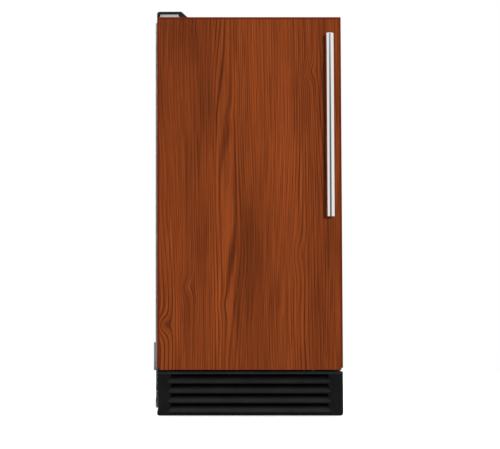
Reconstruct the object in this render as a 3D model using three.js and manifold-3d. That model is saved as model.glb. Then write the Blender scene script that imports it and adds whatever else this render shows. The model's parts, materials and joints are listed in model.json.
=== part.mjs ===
// Undercounter clear-ice maker with a wooden overlay door.
// Millimetres, +Z up. Origin on the floor under the middle of the machine; the door faces -Y.
import * as THREE from "three";
import { mergeVertices } from "three/addons/utils/BufferGeometryUtils.js";
import Module from "manifold-3d";

const wasm = await Module();
wasm.setup();

// ---- driving dimensions ----
const CABINET_WIDTH = 381;
const CABINET_FRONT = -214;
const CABINET_REAR = 316;
const CABINET_BASE = 14;
const CABINET_TOP = 812;
const SHEET = 1.5;
const GAP = 0.3;

const PANEL_WIDTH = 375;
const PANEL_THICK = 19;
const PANEL_BOTTOM = 94;
const PANEL_TOP = 812;
const DOOR_FRONT = -259;
const DOOR_DEPTH = 38;
const DOOR_BOTTOM = 97;
const DOOR_TOP = 810;
const DOOR_SHEET = 2;

const HINGE_X = -175;
const HINGE_Y = -246;
const PIN_RADIUS = 4;
const BUSH_RADIUS = 7.5;

const HANDLE_X = 161;
const HANDLE_RADIUS = 8;
const HANDLE_BOTTOM = 401.5;
const HANDLE_TOP = 773.5;
const HANDLE_PROUD = 38;

const GRILLE_BOTTOM = 3;
const GRILLE_TOP = 90;
const GRILLE_SLOTS = 4;
const GRILLE_PITCH = 19.7;

const DECK = 236;
const LINER_HALF = 160;
const LINER_BOTTOM = 268;
const LINER_TOP = 772;
const LINER_REAR = 270;
const LINER_WALL = 2.5;

const SLOPE = THREE.MathUtils.degToRad(9);
const PLATE_HALF = 115;
const PLATE_LENGTH = 236;
const PLATE_FRONT = [0, 10, 690];
const GRID_REAR = [0, -8, 664];
const GRID_LENGTH = 176;

const CHANNEL = { x0: 60, x1: 122, y: 285 };
const FAN_CENTRE = [-60, 112];
const CONDENSER_HALF = 92;
const COMPRESSOR = [92, 176];

// ---- finishes ----
const finish = (color, roughness, metalness) => new THREE.MeshStandardMaterial({ color, roughness, metalness });
const steel = () => finish(0xb9bcbe, 0.35, 0.9);
const zinc = () => finish(0x9fa3a6, 0.45, 0.8);
const copper = () => finish(0xb4673e, 0.35, 0.9);
const black = () => finish(0x1b1b1b, 0.5, 0.0);
const white = () => finish(0xe8eaea, 0.45, 0.0);
const foam = () => finish(0xe6d9a8, 0.9, 0.0);
const clear = () => finish(0xdfe8ec, 0.15, 0.0);
const rubber = () => finish(0x3a3c3e, 0.8, 0.0);

// ---- shape helpers ----
function block(x0, x1, y0, y1, z0, z1) {
  return new THREE.BoxGeometry(x1 - x0, y1 - y0, z1 - z0).translate((x0 + x1) / 2, (y0 + y1) / 2, (z0 + z1) / 2);
}

function toSolid(geometry) {
  const bare = geometry.clone();
  bare.deleteAttribute("normal");
  bare.deleteAttribute("uv");
  const merged = mergeVertices(bare, 1e-3);
  const vertProperties = new Float32Array(merged.attributes.position.array);
  const triVerts = new Uint32Array(merged.index.array);
  return new wasm.Manifold(new wasm.Mesh({ numProp: 3, vertProperties, triVerts }));
}

function toGeometry(solid) {
  const made = solid.getMesh();
  return new THREE.BufferGeometry()
    .setAttribute("position", new THREE.BufferAttribute(made.vertProperties, 3))
    .setIndex(new THREE.BufferAttribute(made.triVerts, 1));
}

function join(first, ...others) {
  return toGeometry(others.reduce((solid, other) => solid.add(toSolid(other)), toSolid(first)));
}

function cut(first, ...tools) {
  return toGeometry(tools.reduce((solid, tool) => solid.subtract(toSolid(tool)), toSolid(first)));
}

// A round bar between two points.
function rod(from, to, radius, sides = 16) {
  const start = new THREE.Vector3(...from);
  const run = new THREE.Vector3(...to).sub(start);
  const turn = new THREE.Quaternion().setFromUnitVectors(new THREE.Vector3(0, 1, 0), run.clone().normalize());
  return new THREE.CylinderGeometry(radius, radius, run.length(), sides)
    .applyQuaternion(turn)
    .translate(...start.addScaledVector(run, 0.5).toArray());
}

// An outline in the Y-Z plane pulled out from x0 to x1.
function sideProfile(points, x0, x1) {
  const shape = new THREE.Shape(points.map(([y, z]) => new THREE.Vector2(y, z)));
  const pulled = new THREE.ExtrudeGeometry(shape, { depth: x1 - x0, bevelEnabled: false });
  return pulled.rotateY(Math.PI / 2).rotateX(Math.PI / 2).translate(x0, 0, 0);
}

// An outline in the X-Z plane pulled out from y0 back to y1.
function frontProfile(shape, y0, y1) {
  return new THREE.ExtrudeGeometry(shape, { depth: y1 - y0, bevelEnabled: false, curveSegments: 6 })
    .rotateX(Math.PI / 2)
    .translate(0, y1, 0);
}

// A solid of revolution about Z from [radius, height] points that start and end on the axis.
function turned(profile, sides = 16) {
  const outline = profile.map(([r, z]) => new THREE.Vector2(r, z));
  return new THREE.LatheGeometry(outline, sides).rotateX(Math.PI / 2);
}

// A route through fixed points: an extrusion along it puts one ring at each point.
class Route extends THREE.Curve {
  constructor(points) {
    super();
    this.points = points;
  }

  getPointAt(u, target = new THREE.Vector3()) {
    return target.copy(this.points[Math.round(u * (this.points.length - 1))]);
  }

  getTangentAt(u, target = new THREE.Vector3()) {
    const i = Math.round(u * (this.points.length - 1));
    const ahead = this.points[Math.min(i + 1, this.points.length - 1)];
    const behind = this.points[Math.max(i - 1, 0)];
    return target.subVectors(ahead, behind).normalize();
  }
}

// A round tube through the given corners, each eased into a short curve.
function pipe(corners, radius, { bend = 18, sides = 8 } = {}) {
  const points = corners.map((corner) => new THREE.Vector3(...corner));
  const rings = [points[0]];
  for (let i = 1; i < points.length - 1; i++) {
    const before = points[i].clone().sub(points[i - 1]);
    const after = points[i + 1].clone().sub(points[i]);
    const ease = Math.min(bend, before.length() * 0.45, after.length() * 0.45);
    const enter = points[i].clone().addScaledVector(before.normalize(), -ease);
    const leave = points[i].clone().addScaledVector(after.normalize(), ease);
    rings.push(...new THREE.QuadraticBezierCurve3(enter, points[i], leave).getPoints(3));
  }
  rings.push(points[points.length - 1]);
  const section = new THREE.Shape();
  for (let i = 0; i < sides; i++) {
    const angle = (i / sides) * 2 * Math.PI;
    const corner = [radius * Math.cos(angle), radius * Math.sin(angle)];
    if (i === 0) section.moveTo(...corner);
    else section.lineTo(...corner);
  }
  return new THREE.ExtrudeGeometry(section, { steps: rings.length - 1, extrudePath: new Route(rings) });
}

const unit = new THREE.Group();
const cabinet = new THREE.Group();
const door = new THREE.Group();
unit.add(cabinet, door);

function place(group, name, geometry, material) {
  const mesh = new THREE.Mesh(geometry, material);
  mesh.name = name;
  group.add(mesh);
  return mesh;
}

// ---- cabinet shell ----
const HALF = CABINET_WIDTH / 2;
const INNER = HALF - SHEET - GAP;
const FRAME_DEPTH = 11;

function cabinetPanels() {
  for (const [side, sign] of [["left", -1], ["right", 1]]) {
    const x = sign * (HALF - SHEET / 2);
    const sheet = block(x - SHEET / 2, x + SHEET / 2, CABINET_FRONT, CABINET_REAR, CABINET_BASE, CABINET_TOP);
    place(cabinet, `side_panel_${side}`, sheet, steel());
  }
  const lid = block(-INNER, INNER, CABINET_FRONT, CABINET_REAR, CABINET_TOP - SHEET, CABINET_TOP);
  place(cabinet, "top_panel", lid, steel());
  const back = block(-INNER, INNER, CABINET_REAR - SHEET, CABINET_REAR, DECK + GAP, CABINET_TOP - SHEET - GAP);
  place(cabinet, "rear_panel", back, zinc());
}

// The lower rear cover: rows of vents, a hole for the cord gland, the drain and the water inlet.
function servicePanel() {
  const y0 = CABINET_REAR - SHEET;
  const sheet = block(-INNER, INNER, y0, CABINET_REAR, CABINET_BASE + 4, DECK);
  const vents = [];
  for (let row = 0; row < 6; row++) {
    const z = 80 + row * 18;
    vents.push(block(-60, 60, y0 - 5, CABINET_REAR + 5, z, z + 6));
  }
  const ports = [[150, 60, 11.5], [-140, 70, 10.5], [0, 214, 8.6]];
  const holes = ports.map(([x, z, r]) => rod([x, y0 - 5, z], [x, CABINET_REAR + 5, z], r));
  place(cabinet, "service_panel", cut(sheet, ...vents, ...holes), zinc());
}

function basePan() {
  const y0 = CABINET_FRONT + 3;
  const y1 = CABINET_REAR - SHEET - GAP;
  const tray = join(
    block(-INNER, INNER, y0, y1, CABINET_BASE, CABINET_BASE + 2),
    block(-INNER, INNER, y0, y0 + 2, CABINET_BASE, CABINET_BASE + 22),
    block(-INNER, INNER, y1 - 2, y1, CABINET_BASE, CABINET_BASE + 3.7),
  );
  const holes = LEG_SPOTS.map(([, x, y]) => rod([x, y, 0], [x, y, 60], 5.6));
  place(cabinet, "base_pan", cut(tray, ...holes), zinc());
}

function machineDeck() {
  const y0 = CABINET_FRONT + FRAME_DEPTH + GAP;
  const y1 = CABINET_REAR - SHEET - GAP;
  const sheet = block(-INNER, INNER, y0, y1, DECK, DECK + 2);
  const slot = block(CHANNEL.x0, CHANNEL.x1, CHANNEL.y, y1 - 6, DECK - 5, DECK + 7);
  const drain = rod([0, 200, DECK - 5], [0, 200, DECK + 7], 9);
  place(cabinet, "machine_deck", cut(sheet, slot, drain), zinc());
}

// ---- insulation, liner and the front frame ----
const PORT = { x0: 64, x1: 118, z0: 652, z1: 730 };
const port = (y0, y1) => block(PORT.x0, PORT.x1, y0, y1, PORT.z0, PORT.z1);
const drainHole = (radius) => rod([0, 200, DECK], [0, 200, LINER_BOTTOM + 8], radius);

function insulation() {
  const y0 = CABINET_FRONT + FRAME_DEPTH + GAP;
  const y1 = CABINET_REAR - SHEET - GAP;
  const outer = block(-INNER, INNER, y0, y1, DECK + 2 + GAP, CABINET_TOP - SHEET - GAP);
  const reach = LINER_HALF + GAP;
  const hollow = block(-reach, reach, y0 - 5, LINER_REAR + GAP, LINER_BOTTOM - GAP, LINER_TOP + GAP);
  const channel = block(CHANNEL.x0, CHANNEL.x1, CHANNEL.y, y1 + 5, DECK - 5, PORT.z1);
  place(cabinet, "cabinet_insulation", cut(outer, hollow, channel, port(260, 290), drainHole(9)), foam());
}

function binLiner() {
  const y0 = CABINET_FRONT + FRAME_DEPTH + GAP;
  const outer = block(-LINER_HALF, LINER_HALF, y0, LINER_REAR, LINER_BOTTOM, LINER_TOP);
  const inside = LINER_HALF - LINER_WALL;
  const hollow = block(
    -inside, inside, y0 - 5, LINER_REAR - LINER_WALL, LINER_BOTTOM + LINER_WALL, LINER_TOP - LINER_WALL,
  );
  place(cabinet, "bin_liner", cut(outer, hollow, port(260, 290), drainHole(9)), white());
}

// The moulded face that the gasket closes on, with a plain lower part over the machinery.
function frontFrame() {
  const y1 = CABINET_FRONT + FRAME_DEPTH;
  const plate = block(-INNER, INNER, CABINET_FRONT, y1, PANEL_BOTTOM + 2, CABINET_TOP - SHEET - GAP);
  const mouth = LINER_HALF - LINER_WALL;
  const opening = block(
    -mouth, mouth, CABINET_FRONT - 5, y1 + 5, LINER_BOTTOM + LINER_WALL, LINER_TOP - LINER_WALL,
  );
  place(cabinet, "front_frame", cut(plate, opening), white());
}

// ---- toe grille ----
// A moulded tray with four slots; each blade leans out at its foot, so its lip catches the light.
function toeGrille() {
  const half = CABINET_WIDTH / 2 - 0.5;
  const slotHalf = 162.5;
  const y1 = CABINET_FRONT - GAP;
  const wall = 3;
  const corner = 6;
  const face = new THREE.Shape();
  face.moveTo(-half, GRILLE_TOP);
  face.lineTo(-half, GRILLE_BOTTOM + corner);
  face.quadraticCurveTo(-half, GRILLE_BOTTOM, corner - half, GRILLE_BOTTOM);
  face.lineTo(half - corner, GRILLE_BOTTOM);
  face.quadraticCurveTo(half, GRILLE_BOTTOM, half, GRILLE_BOTTOM + corner);
  face.lineTo(half, GRILLE_TOP);
  const body = frontProfile(face, DOOR_FRONT, y1);
  const recess = block(
    wall - half, half - wall, DOOR_FRONT + wall, y1 + 5, GRILLE_BOTTOM + wall, GRILLE_TOP - wall,
  );
  const slots = [];
  const blades = [];
  for (let i = 0; i < GRILLE_SLOTS; i++) {
    const top = GRILLE_TOP - 6 - i * GRILLE_PITCH;
    const low = top - GRILLE_PITCH + 5;
    slots.push(block(-slotHalf, slotHalf, DOOR_FRONT - 5, DOOR_FRONT + wall + 5, low, top));
    const blade = [
      [DOOR_FRONT, low - 0.5],
      [DOOR_FRONT, low + 2.5],
      [DOOR_FRONT + 13, top - 3],
      [DOOR_FRONT + 13, top - 5.5],
      [DOOR_FRONT + 2.5, low - 0.5],
    ];
    blades.push(sideProfile(blade, -slotHalf - 1, slotHalf + 1));
  }
  place(cabinet, "toe_grille", join(cut(body, recess, ...slots), ...blades), black());
}

// ---- levelling legs ----
const LEG_SPOTS = [
  ["front_left", -165, -178],
  ["front_right", 165, -178],
  ["rear_left", -165, 290],
  ["rear_right", 165, 290],
];

function levellingLegs() {
  const leg = [[0, 0], [15, 0], [15, 4], [9, 9], [9, 12.5], [5, 12.5], [5, 52], [4, 53], [0, 53]];
  for (const [spot, x, y] of LEG_SPOTS) {
    const mesh = place(cabinet, `leg_${spot}`, turned(leg, 12), black());
    mesh.position.set(x, y, 0);
  }
}

// ---- hinges ----
const ARM_Z = [90.6, 93.4];
const TOP_PLATE_Z = [CABINET_TOP + 0.8, CABINET_TOP + 3.8];
const pinHole = (z0, z1) => rod([HINGE_X, HINGE_Y, z0], [HINGE_X, HINGE_Y, z1], PIN_RADIUS + 0.4);

function topHinge() {
  const [z0, z1] = TOP_PLATE_Z;
  const plate = join(
    block(-183, -141, -261, -152, z0, z1),
    block(-181.4, -142.8, -261, -258, z0, CABINET_TOP + 8.6),
  );
  place(cabinet, "hinge_bracket_top", cut(plate, pinHole(z0 - 5, z1 + 5)), zinc());
  const pin = [[0, 790], [PIN_RADIUS - 1, 790], [PIN_RADIUS, 791], [PIN_RADIUS, z1 + GAP]];
  const head = [[6, z1 + GAP], [6, z1 + 3], [0, z1 + 3]];
  place(cabinet, "hinge_pin_top", turned([...pin, ...head]), zinc()).position.set(HINGE_X, HINGE_Y, 0);
}

// A low moulded cover with a rounded left end and a sloping right end, open at the front and below.
function hingeCover() {
  const z0 = CABINET_TOP + 0.6;
  const z1 = CABINET_TOP + 14;
  const left = -PANEL_WIDTH / 2;
  const outline = new THREE.Shape();
  outline.moveTo(left, z0);
  outline.lineTo(left + 63.5, z0);
  outline.lineTo(left + 63.5, z0 + 1);
  outline.lineTo(left + 50, z1);
  outline.lineTo(left + 7, z1);
  outline.quadraticCurveTo(left, z1, left, z1 - 6);
  const body = frontProfile(outline, -264, -146);
  const hollow = block(left + 3.5, left + 47.5, -270, -149, z0 - 5, CABINET_TOP + 9.4);
  place(cabinet, "hinge_cover", cut(body, hollow), black());
}

function bottomHinge() {
  const front = CABINET_FRONT - GAP;
  const [z0, z1] = ARM_Z;
  const bracket = join(
    block(-194, -176, front - 3, front, z0, 148),
    block(-194, -191, front - 3, -170, 96, 148),
    block(-186.5, -162, -262, front, z0, z1),
  );
  place(cabinet, "hinge_bracket_bottom", cut(bracket, pinHole(z0 - 5, z1 + 5)), zinc());
  const pin = [[0, z0], [PIN_RADIUS, z0], [PIN_RADIUS, 113], [PIN_RADIUS - 1, 114], [0, 114]];
  place(cabinet, "hinge_pin_bottom", turned(pin), zinc()).position.set(HINGE_X, HINGE_Y, 0);
}

// ---- ice module: a tilted plate freezes the slab, which slides onto the wire grid ----
function tilted(origin) {
  const group = new THREE.Group();
  group.position.set(...origin);
  group.rotation.x = SLOPE;
  cabinet.add(group);
  return group;
}

function evaporator() {
  const slope = tilted(PLATE_FRONT);
  const plate = join(
    block(-PLATE_HALF, PLATE_HALF, 0, PLATE_LENGTH, 0, 3),
    block(-PLATE_HALF, 2 - PLATE_HALF, 0, PLATE_LENGTH, 0, 15),
    block(PLATE_HALF - 2, PLATE_HALF, 0, PLATE_LENGTH, 0, 15),
    block(-PLATE_HALF, PLATE_HALF, PLATE_LENGTH - 2, PLATE_LENGTH, 0, 15),
  );
  place(slope, "evaporator_plate", plate, steel());
  const passes = 6;
  const pitch = 36;
  const z = -4.5 - 0.4;
  const corners = [[96, 20 + pitch * (passes - 1), z]];
  for (let i = passes - 1; i >= 0; i--) {
    const ends = (passes - 1 - i) % 2 ? [-92, 92] : [92, -92];
    ends.forEach((x) => corners.push([x, 20 + i * pitch, z]));
  }
  corners.shift();
  corners[0][0] = 98;
  corners[corners.length - 1][0] = 98;
  place(slope, "evaporator_coil", pipe(corners, 4.5, { bend: 16 }), copper());
}

function cutterGrid() {
  const slope = tilted(GRID_REAR);
  const half = 118;
  const bar = 9;
  const frame = cut(
    block(-half, half, -GRID_LENGTH, 0, -22, 0),
    block(bar - half, half - bar, bar - GRID_LENGTH, -bar, -30, 10),
  );
  const wires = [];
  for (let x = -88; x <= 88; x += 22) wires.push(rod([x, 2 - GRID_LENGTH, -6], [x, -2, -6], 0.9, 6));
  for (let y = -22; y > bar - GRID_LENGTH; y -= 22) wires.push(rod([2 - half, y, -16], [half - 2, y, -16], 0.9, 6));
  place(slope, "cutter_grid", join(frame, ...wires), white());
}

function gridCover() {
  const sheet = sideProfile(
    [[-198, 604], [-198, 688], [-150, 711], [-149, 708.8], [-195.5, 686.5], [-195.5, 604]], -126, 126,
  );
  const cheek = [[-198, 604], [-198, 688], [-150, 711], [-140, 700], [-140, 625], [-160, 604]];
  const cheeks = [sideProfile(cheek, -126, -123.5), sideProfile(cheek, 123.5, 126)];
  place(cabinet, "grid_cover", join(sheet, ...cheeks), black());
}

// Two side plates and two cross bars that carry the plate and the grid.
function moduleFrame() {
  const outline = [
    [-184, 605], [-184, 640], [0, 669], [6, 704], [246, 744], [246, 698], [66, 668], [66, 656], [-10, 656],
    [-10, 605],
  ];
  const frame = join(
    sideProfile(outline, -121.5, -119),
    sideProfile(outline, 119, 121.5),
    block(-121.5, 121.5, -184, -180, 605, 613),
    block(-121.5, 121.5, 242, 246, 700, 714),
  );
  place(cabinet, "module_frame", frame, steel());
}

function waterReservoir() {
  const wall = 2.5;
  const trough = cut(
    block(-118, 157, -4, 62, 588, 650),
    block(wall - 118, 157 - wall, wall - 4, 62 - wall, 588 + wall, 660),
  );
  place(cabinet, "water_reservoir", trough, white());
}

const PUMP = [139, 29];

function circulationPump() {
  const profile = [
    [0, 593], [13, 593], [13, 606], [6, 609], [6, 650], [14.5, 653], [14.5, 694], [11, 698], [0, 698],
  ];
  place(cabinet, "circulation_pump", turned(profile), black()).position.set(...PUMP, 0);
  const z = 668;
  const route = [[139, 44, z], [139, 236, z], [139, 236, 754], [118.5, 236, 754]];
  place(cabinet, "pump_hose", pipe(route, 5, { bend: 20 }), clear());
}

function waterDistributor() {
  const tube = rod([-112, 236, 754], [113, 236, 754], 8, 20);
  const nipple = rod([110, 236, 754], [118, 236, 754], 4.5, 16);
  const outlets = [];
  for (let x = -99; x <= 99; x += 22) outlets.push(rod([x, 236, 741], [x, 236, 750], 1.6, 4));
  place(cabinet, "water_distributor", join(tube, nipple, ...outlets), white());
}

// ---- controls at the top of the opening ----
const ROCKER = { x: -44, y: -199, z: 750, half: 10, high: 7 };
const BUTTON = { x: 6, y: -199, z: 750, radius: 6 };

function controls() {
  const shell = block(-150, 150, -197, -122, 731, 769);
  const hollow = block(-147, 147, -194, -110, 734, 766);
  const rockerHole = block(
    ROCKER.x - ROCKER.half - 0.6, ROCKER.x + ROCKER.half + 0.6, -205, -180,
    ROCKER.z - ROCKER.high - 0.6, ROCKER.z + ROCKER.high + 0.6,
  );
  const buttonHole = rod([BUTTON.x, -205, BUTTON.z], [BUTTON.x, -180, BUTTON.z], BUTTON.radius + 0.6);
  const lightHole = block(60, 120, -185, -145, 720, 740);
  place(cabinet, "control_housing", cut(shell, hollow, rockerHole, buttonHole, lightHole), black());
  const { x, y, z, half, high } = ROCKER;
  const paddle = [[y, z - high], [y + 9, z - 4], [y + 9, z + 4], [y, z + high], [y + 1.5, z]];
  place(cabinet, "power_rocker", sideProfile(paddle, x - half, x + half), rubber());
  const cap = rod([BUTTON.x, BUTTON.y - 1, BUTTON.z], [BUTTON.x, BUTTON.y + 8, BUTTON.z], BUTTON.radius);
  place(cabinet, "clean_button", cap, rubber());
  place(cabinet, "light_lens", block(60.5, 119.5, -184.5, -145.5, 729.5, 733.5), clear());
}

function binSensor() {
  const bulb = rod([-157.2, 120, 572], [-96, 120, 572], 5, 16);
  const flange = rod([-157.2, 120, 572], [-154, 120, 572], 13, 20);
  place(cabinet, "bin_sensor", join(bulb, flange), steel());
}

// ---- ice scoop, hung by the eye in its grip on a peg on the right wall of the bin ----
const SCOOP = { x: 132, y: -110 };

function iceScoop() {
  const { x, y } = SCOOP;
  const bowl = cut(
    block(x - 20, x + 20, y - 38, y + 38, 318, 430),
    block(x - 17.6, x + 30, y - 35.6, y + 35.6, 300, 427.6),
  );
  const grip = block(x - 9, x + 9, y - 11, y + 11, 429, 540);
  const eye = rod([x - 30, y, 512], [x + 30, y, 512], 9, 20);
  place(cabinet, "ice_scoop", cut(join(bowl, grip), eye), clear());
  const hook = join(
    block(x + 22.7, x + 25.2, y - 16, y + 16, 490, 540),
    block(x - 14, x + 23, y - 3, y + 3, 514.5, 519.5),
  );
  place(cabinet, "scoop_hook", hook, white());
}

// ---- refrigeration and air ----
function condenser() {
  const [cx] = FAN_CENTRE;
  const core = block(cx - CONDENSER_HALF, cx + CONDENSER_HALF, -196, -160, 26, 196);
  const slits = [];
  for (let i = 0; i < 14; i++) {
    const x = cx - 86 + i * 12.8;
    slits.push(block(x, x + 6, -200, -182, 30, 192));
  }
  place(cabinet, "condenser", cut(core, ...slits), zinc());
}

function fanSet() {
  const [x, z] = FAN_CENTRE;
  const shroud = cut(
    block(x - 90, x + 90, -159.6, -128, z - 82, z + 82),
    block(x - 87, x + 87, -165, -131, z - 79, z + 79),
    rod([x, -140, z], [x, -120, z], 72, 32),
  );
  place(cabinet, "fan_shroud", shroud, black());
  const hub = rod([0, -16, 0], [0, 4, 0], 17, 20);
  const blades = [];
  for (let i = 0; i < 5; i++) {
    const blade = new THREE.BoxGeometry(52, 2, 30).translate(40, 0, 0).rotateX(0.5);
    blades.push(blade.translate(0, -6, 0).rotateY((i / 5) * 2 * Math.PI));
  }
  place(cabinet, "fan_blade", join(hub, ...blades), black()).position.set(x, -134, z);
  const motor = join(
    rod([x, -120, z], [x, -76, z], 28, 28),
    block(x - 86, x + 86, -127.6, -122, z - 5, z + 5),
    block(x - 5, x + 5, -127.6, -122, z - 80, z + 80),
    rod([x, -127.6, z], [x, -119, z], 12, 20),
  );
  place(cabinet, "fan_motor", motor, zinc());
}

function compressorSet() {
  const [x, y] = COMPRESSOR;
  const shell = turned([
    [0, 34], [40, 34], [60, 46], [66, 66], [66, 108], [60, 136], [42, 156], [16, 164], [0, 165],
  ], 24).translate(x, y, 0);
  const plate = block(x - 72, x + 72, y - 56, y + 56, 28, 36);
  const feet = [[-60, -44], [60, -44], [-60, 44], [60, 44]].map(([dx, dy]) =>
    rod([x + dx, y + dy, CABINET_BASE + 2 + GAP], [x + dx, y + dy, 29], 9, 16),
  );
  place(cabinet, "compressor", join(shell, plate, ...feet), black());
  place(cabinet, "compressor_cover", block(x - 96, x - 66.6, y - 24, y + 24, 60, 116), black());
}

function refrigerantLines() {
  const [cx, cy] = COMPRESSOR;
  const edge = FAN_CENTRE[0] + CONDENSER_HALF + 0.6;
  const discharge = [
    [cx, cy, 165.4], [cx, cy, 206], [cx, -130, 206], [edge + 20, -178, 206], [edge + 20, -178, 180],
    [edge, -178, 180],
  ];
  place(cabinet, "discharge_line", pipe(discharge, 3.5), copper());
  const liquid = [
    [edge, -178, 40], [edge + 16, -178, 40], [edge + 16, 60, 40], [-40, 60, 40], [-40, 60, 59.6],
  ];
  place(cabinet, "liquid_line", pipe(liquid, 3, { sides: 6 }), copper());
  // The drier and the capillary tube brazed into its top, which runs up the back to the plate.
  const drier = turned([[0, 0], [3.5, 0], [4, 6], [11, 14], [11, 92], [4, 100], [3.5, 106], [0, 106]], 20);
  const capillary = [
    [-40, 60, 164], [-40, 60, 190], [-40, 262, 190], [86, 298, 190], [86, 298, 716], [86, 258, 716],
    [104, 222, 716],
  ];
  const tube = pipe(capillary, 2, { sides: 6 });
  place(cabinet, "filter_drier", join(drier.translate(-40, 60, 60), tube), copper());
  const suction = [
    [104, 29, 687], [110, 29, 674], [110, 298, 674], [110, 298, 140], [cx, 270, 108], [cx, 243, 108],
  ];
  place(cabinet, "suction_line", pipe(suction, 4.5), copper());
}

// ---- water and drain ----
function waterParts() {
  const valve = join(
    block(-158, -122, 268, 312, 56, 84),
    rod([-140, 286, 84], [-140, 286, 112], 13, 20),
    rod([-140, 312, 70], [-140, CABINET_REAR + 0, 70], 9.5, 20),
  );
  place(cabinet, "water_valve", valve, white());
  const feed = [
    [-121.6, 280, 70], [-100, 280, 70], [-100, 280, 229], [72, 298, 229], [72, 298, 662], [72, 60, 662],
    [72, 40, 655],
  ];
  place(cabinet, "water_line", pipe(feed, 3.2, { sides: 6 }), clear());
  const drain = [[0, 200, LINER_BOTTOM + 1.5], [0, 200, 214], [0, CABINET_REAR, 214]];
  place(cabinet, "drain_line", pipe(drain, 8, { bend: 16, sides: 12 }), rubber());
  const bush = join(
    rod([150, 306, 60], [150, CABINET_REAR, 60], 11, 24),
    rod([150, 306, 60], [150, CABINET_REAR - SHEET - GAP, 60], 14, 24),
  );
  place(cabinet, "cord_gland", cut(bush, rod([150, 300, 60], [150, 330, 60], 5, 20)), rubber());
}

// ---- door ----
const PAN_HALF = PANEL_WIDTH / 2 - 1;
const DOOR_BACK = DOOR_FRONT + DOOR_DEPTH;

function doorShell() {
  const inner = PAN_HALF - DOOR_SHEET;
  const bushHoles = [DOOR_BOTTOM, DOOR_TOP].map((z) =>
    rod([HINGE_X, HINGE_Y, z - 6], [HINGE_X, HINGE_Y, z + 6], BUSH_RADIUS + 0.4),
  );
  const pan = cut(
    block(-PAN_HALF, PAN_HALF, DOOR_FRONT, DOOR_BACK, DOOR_BOTTOM, DOOR_TOP),
    block(-inner, inner, DOOR_FRONT + DOOR_SHEET, DOOR_BACK + 5, DOOR_BOTTOM + DOOR_SHEET, DOOR_TOP - DOOR_SHEET),
    ...bushHoles,
  );
  place(door, "door_pan", pan, steel());
  const edge = inner - GAP;
  const [z0, z1] = [DOOR_BOTTOM + DOOR_SHEET + GAP, DOOR_TOP - DOOR_SHEET - GAP];
  const pockets = [[z0 - 5, DOOR_BOTTOM + 23], [DOOR_TOP - 23, z1 + 5]].map(([low, high]) =>
    block(-edge - 5, HINGE_X + 10, DOOR_FRONT, DOOR_BACK, low, high),
  );
  const core = block(-edge, edge, DOOR_FRONT + DOOR_SHEET + GAP, DOOR_BACK - 3 - GAP, z0, z1);
  place(door, "door_insulation", cut(core, ...pockets), foam());
  place(door, "door_liner", block(-edge, edge, DOOR_BACK - 3, DOOR_BACK, z0, z1), white());
}

function doorGasket() {
  const [y0, y1] = [DOOR_BACK + GAP, CABINET_FRONT - GAP];
  const ring = cut(
    block(-173, 173, y0, y1, 256, 788),
    block(-159, 159, y0 - 5, y1 + 5, 270, 774),
  );
  place(door, "door_gasket", ring, rubber());
}

function doorBushings() {
  for (const [end, z0, z1] of [["bottom", DOOR_BOTTOM - 0.4, DOOR_BOTTOM + 20], ["top", DOOR_TOP - 21, DOOR_TOP + 0.4]]) {
    const bush = cut(
      rod([HINGE_X, HINGE_Y, z0], [HINGE_X, HINGE_Y, z1], BUSH_RADIUS),
      rod([HINGE_X, HINGE_Y, z0 - 5], [HINGE_X, HINGE_Y, z1 + 5], PIN_RADIUS + 0.25),
    );
    place(door, `door_bushing_${end}`, bush, white());
  }
}

// The overlay panel, relieved at both bottom corners for the hinge arm of either hand.
function overlayPanel() {
  const half = PANEL_WIDTH / 2;
  const [y0, y1] = [DOOR_FRONT - PANEL_THICK, DOOR_FRONT - GAP];
  const relief = [-1, 1].map((side) => {
    const x = side * half;
    return block(x - 3, x + 3, y0 - 5, y1 + 5, PANEL_BOTTOM - 5, PANEL_BOTTOM + 4);
  });
  place(door, "wood_panel", cut(block(-half, half, y0, y1, PANEL_BOTTOM, PANEL_TOP), ...relief), finish(0x8a4322, 0.45, 0));
}

function handle() {
  const face = DOOR_FRONT - PANEL_THICK;
  const y = face - HANDLE_PROUD + HANDLE_RADIUS;
  const bar = turned([
    [0, HANDLE_BOTTOM], [HANDLE_RADIUS - 1, HANDLE_BOTTOM], [HANDLE_RADIUS, HANDLE_BOTTOM + 1],
    [HANDLE_RADIUS, HANDLE_TOP - 1], [HANDLE_RADIUS - 1, HANDLE_TOP], [0, HANDLE_TOP],
  ], 24);
  place(door, "handle_bar", bar, steel()).position.set(HANDLE_X, y, 0);
  for (const [end, z] of [["lower", HANDLE_BOTTOM + 50], ["upper", HANDLE_TOP - 50]]) {
    const post = rod([HANDLE_X, y + HANDLE_RADIUS + GAP, z], [HANDLE_X, face - GAP, z], 4.5, 12);
    place(door, `handle_post_${end}`, post, steel());
  }
}

cabinetPanels();
servicePanel();
basePan();
machineDeck();
insulation();
binLiner();
frontFrame();
toeGrille();
levellingLegs();
topHinge();
hingeCover();
bottomHinge();
evaporator();
cutterGrid();
gridCover();
moduleFrame();
waterReservoir();
circulationPump();
waterDistributor();
controls();
binSensor();
iceScoop();
condenser();
fanSet();
compressorSet();
refrigerantLines();
waterParts();
doorShell();
doorGasket();
doorBushings();
overlayPanel();
handle();

export default unit;
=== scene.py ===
"""Undercounter ice maker with a wooden overlay door. Metres, +Z up, the door faces -Y."""
import json
import math

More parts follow.
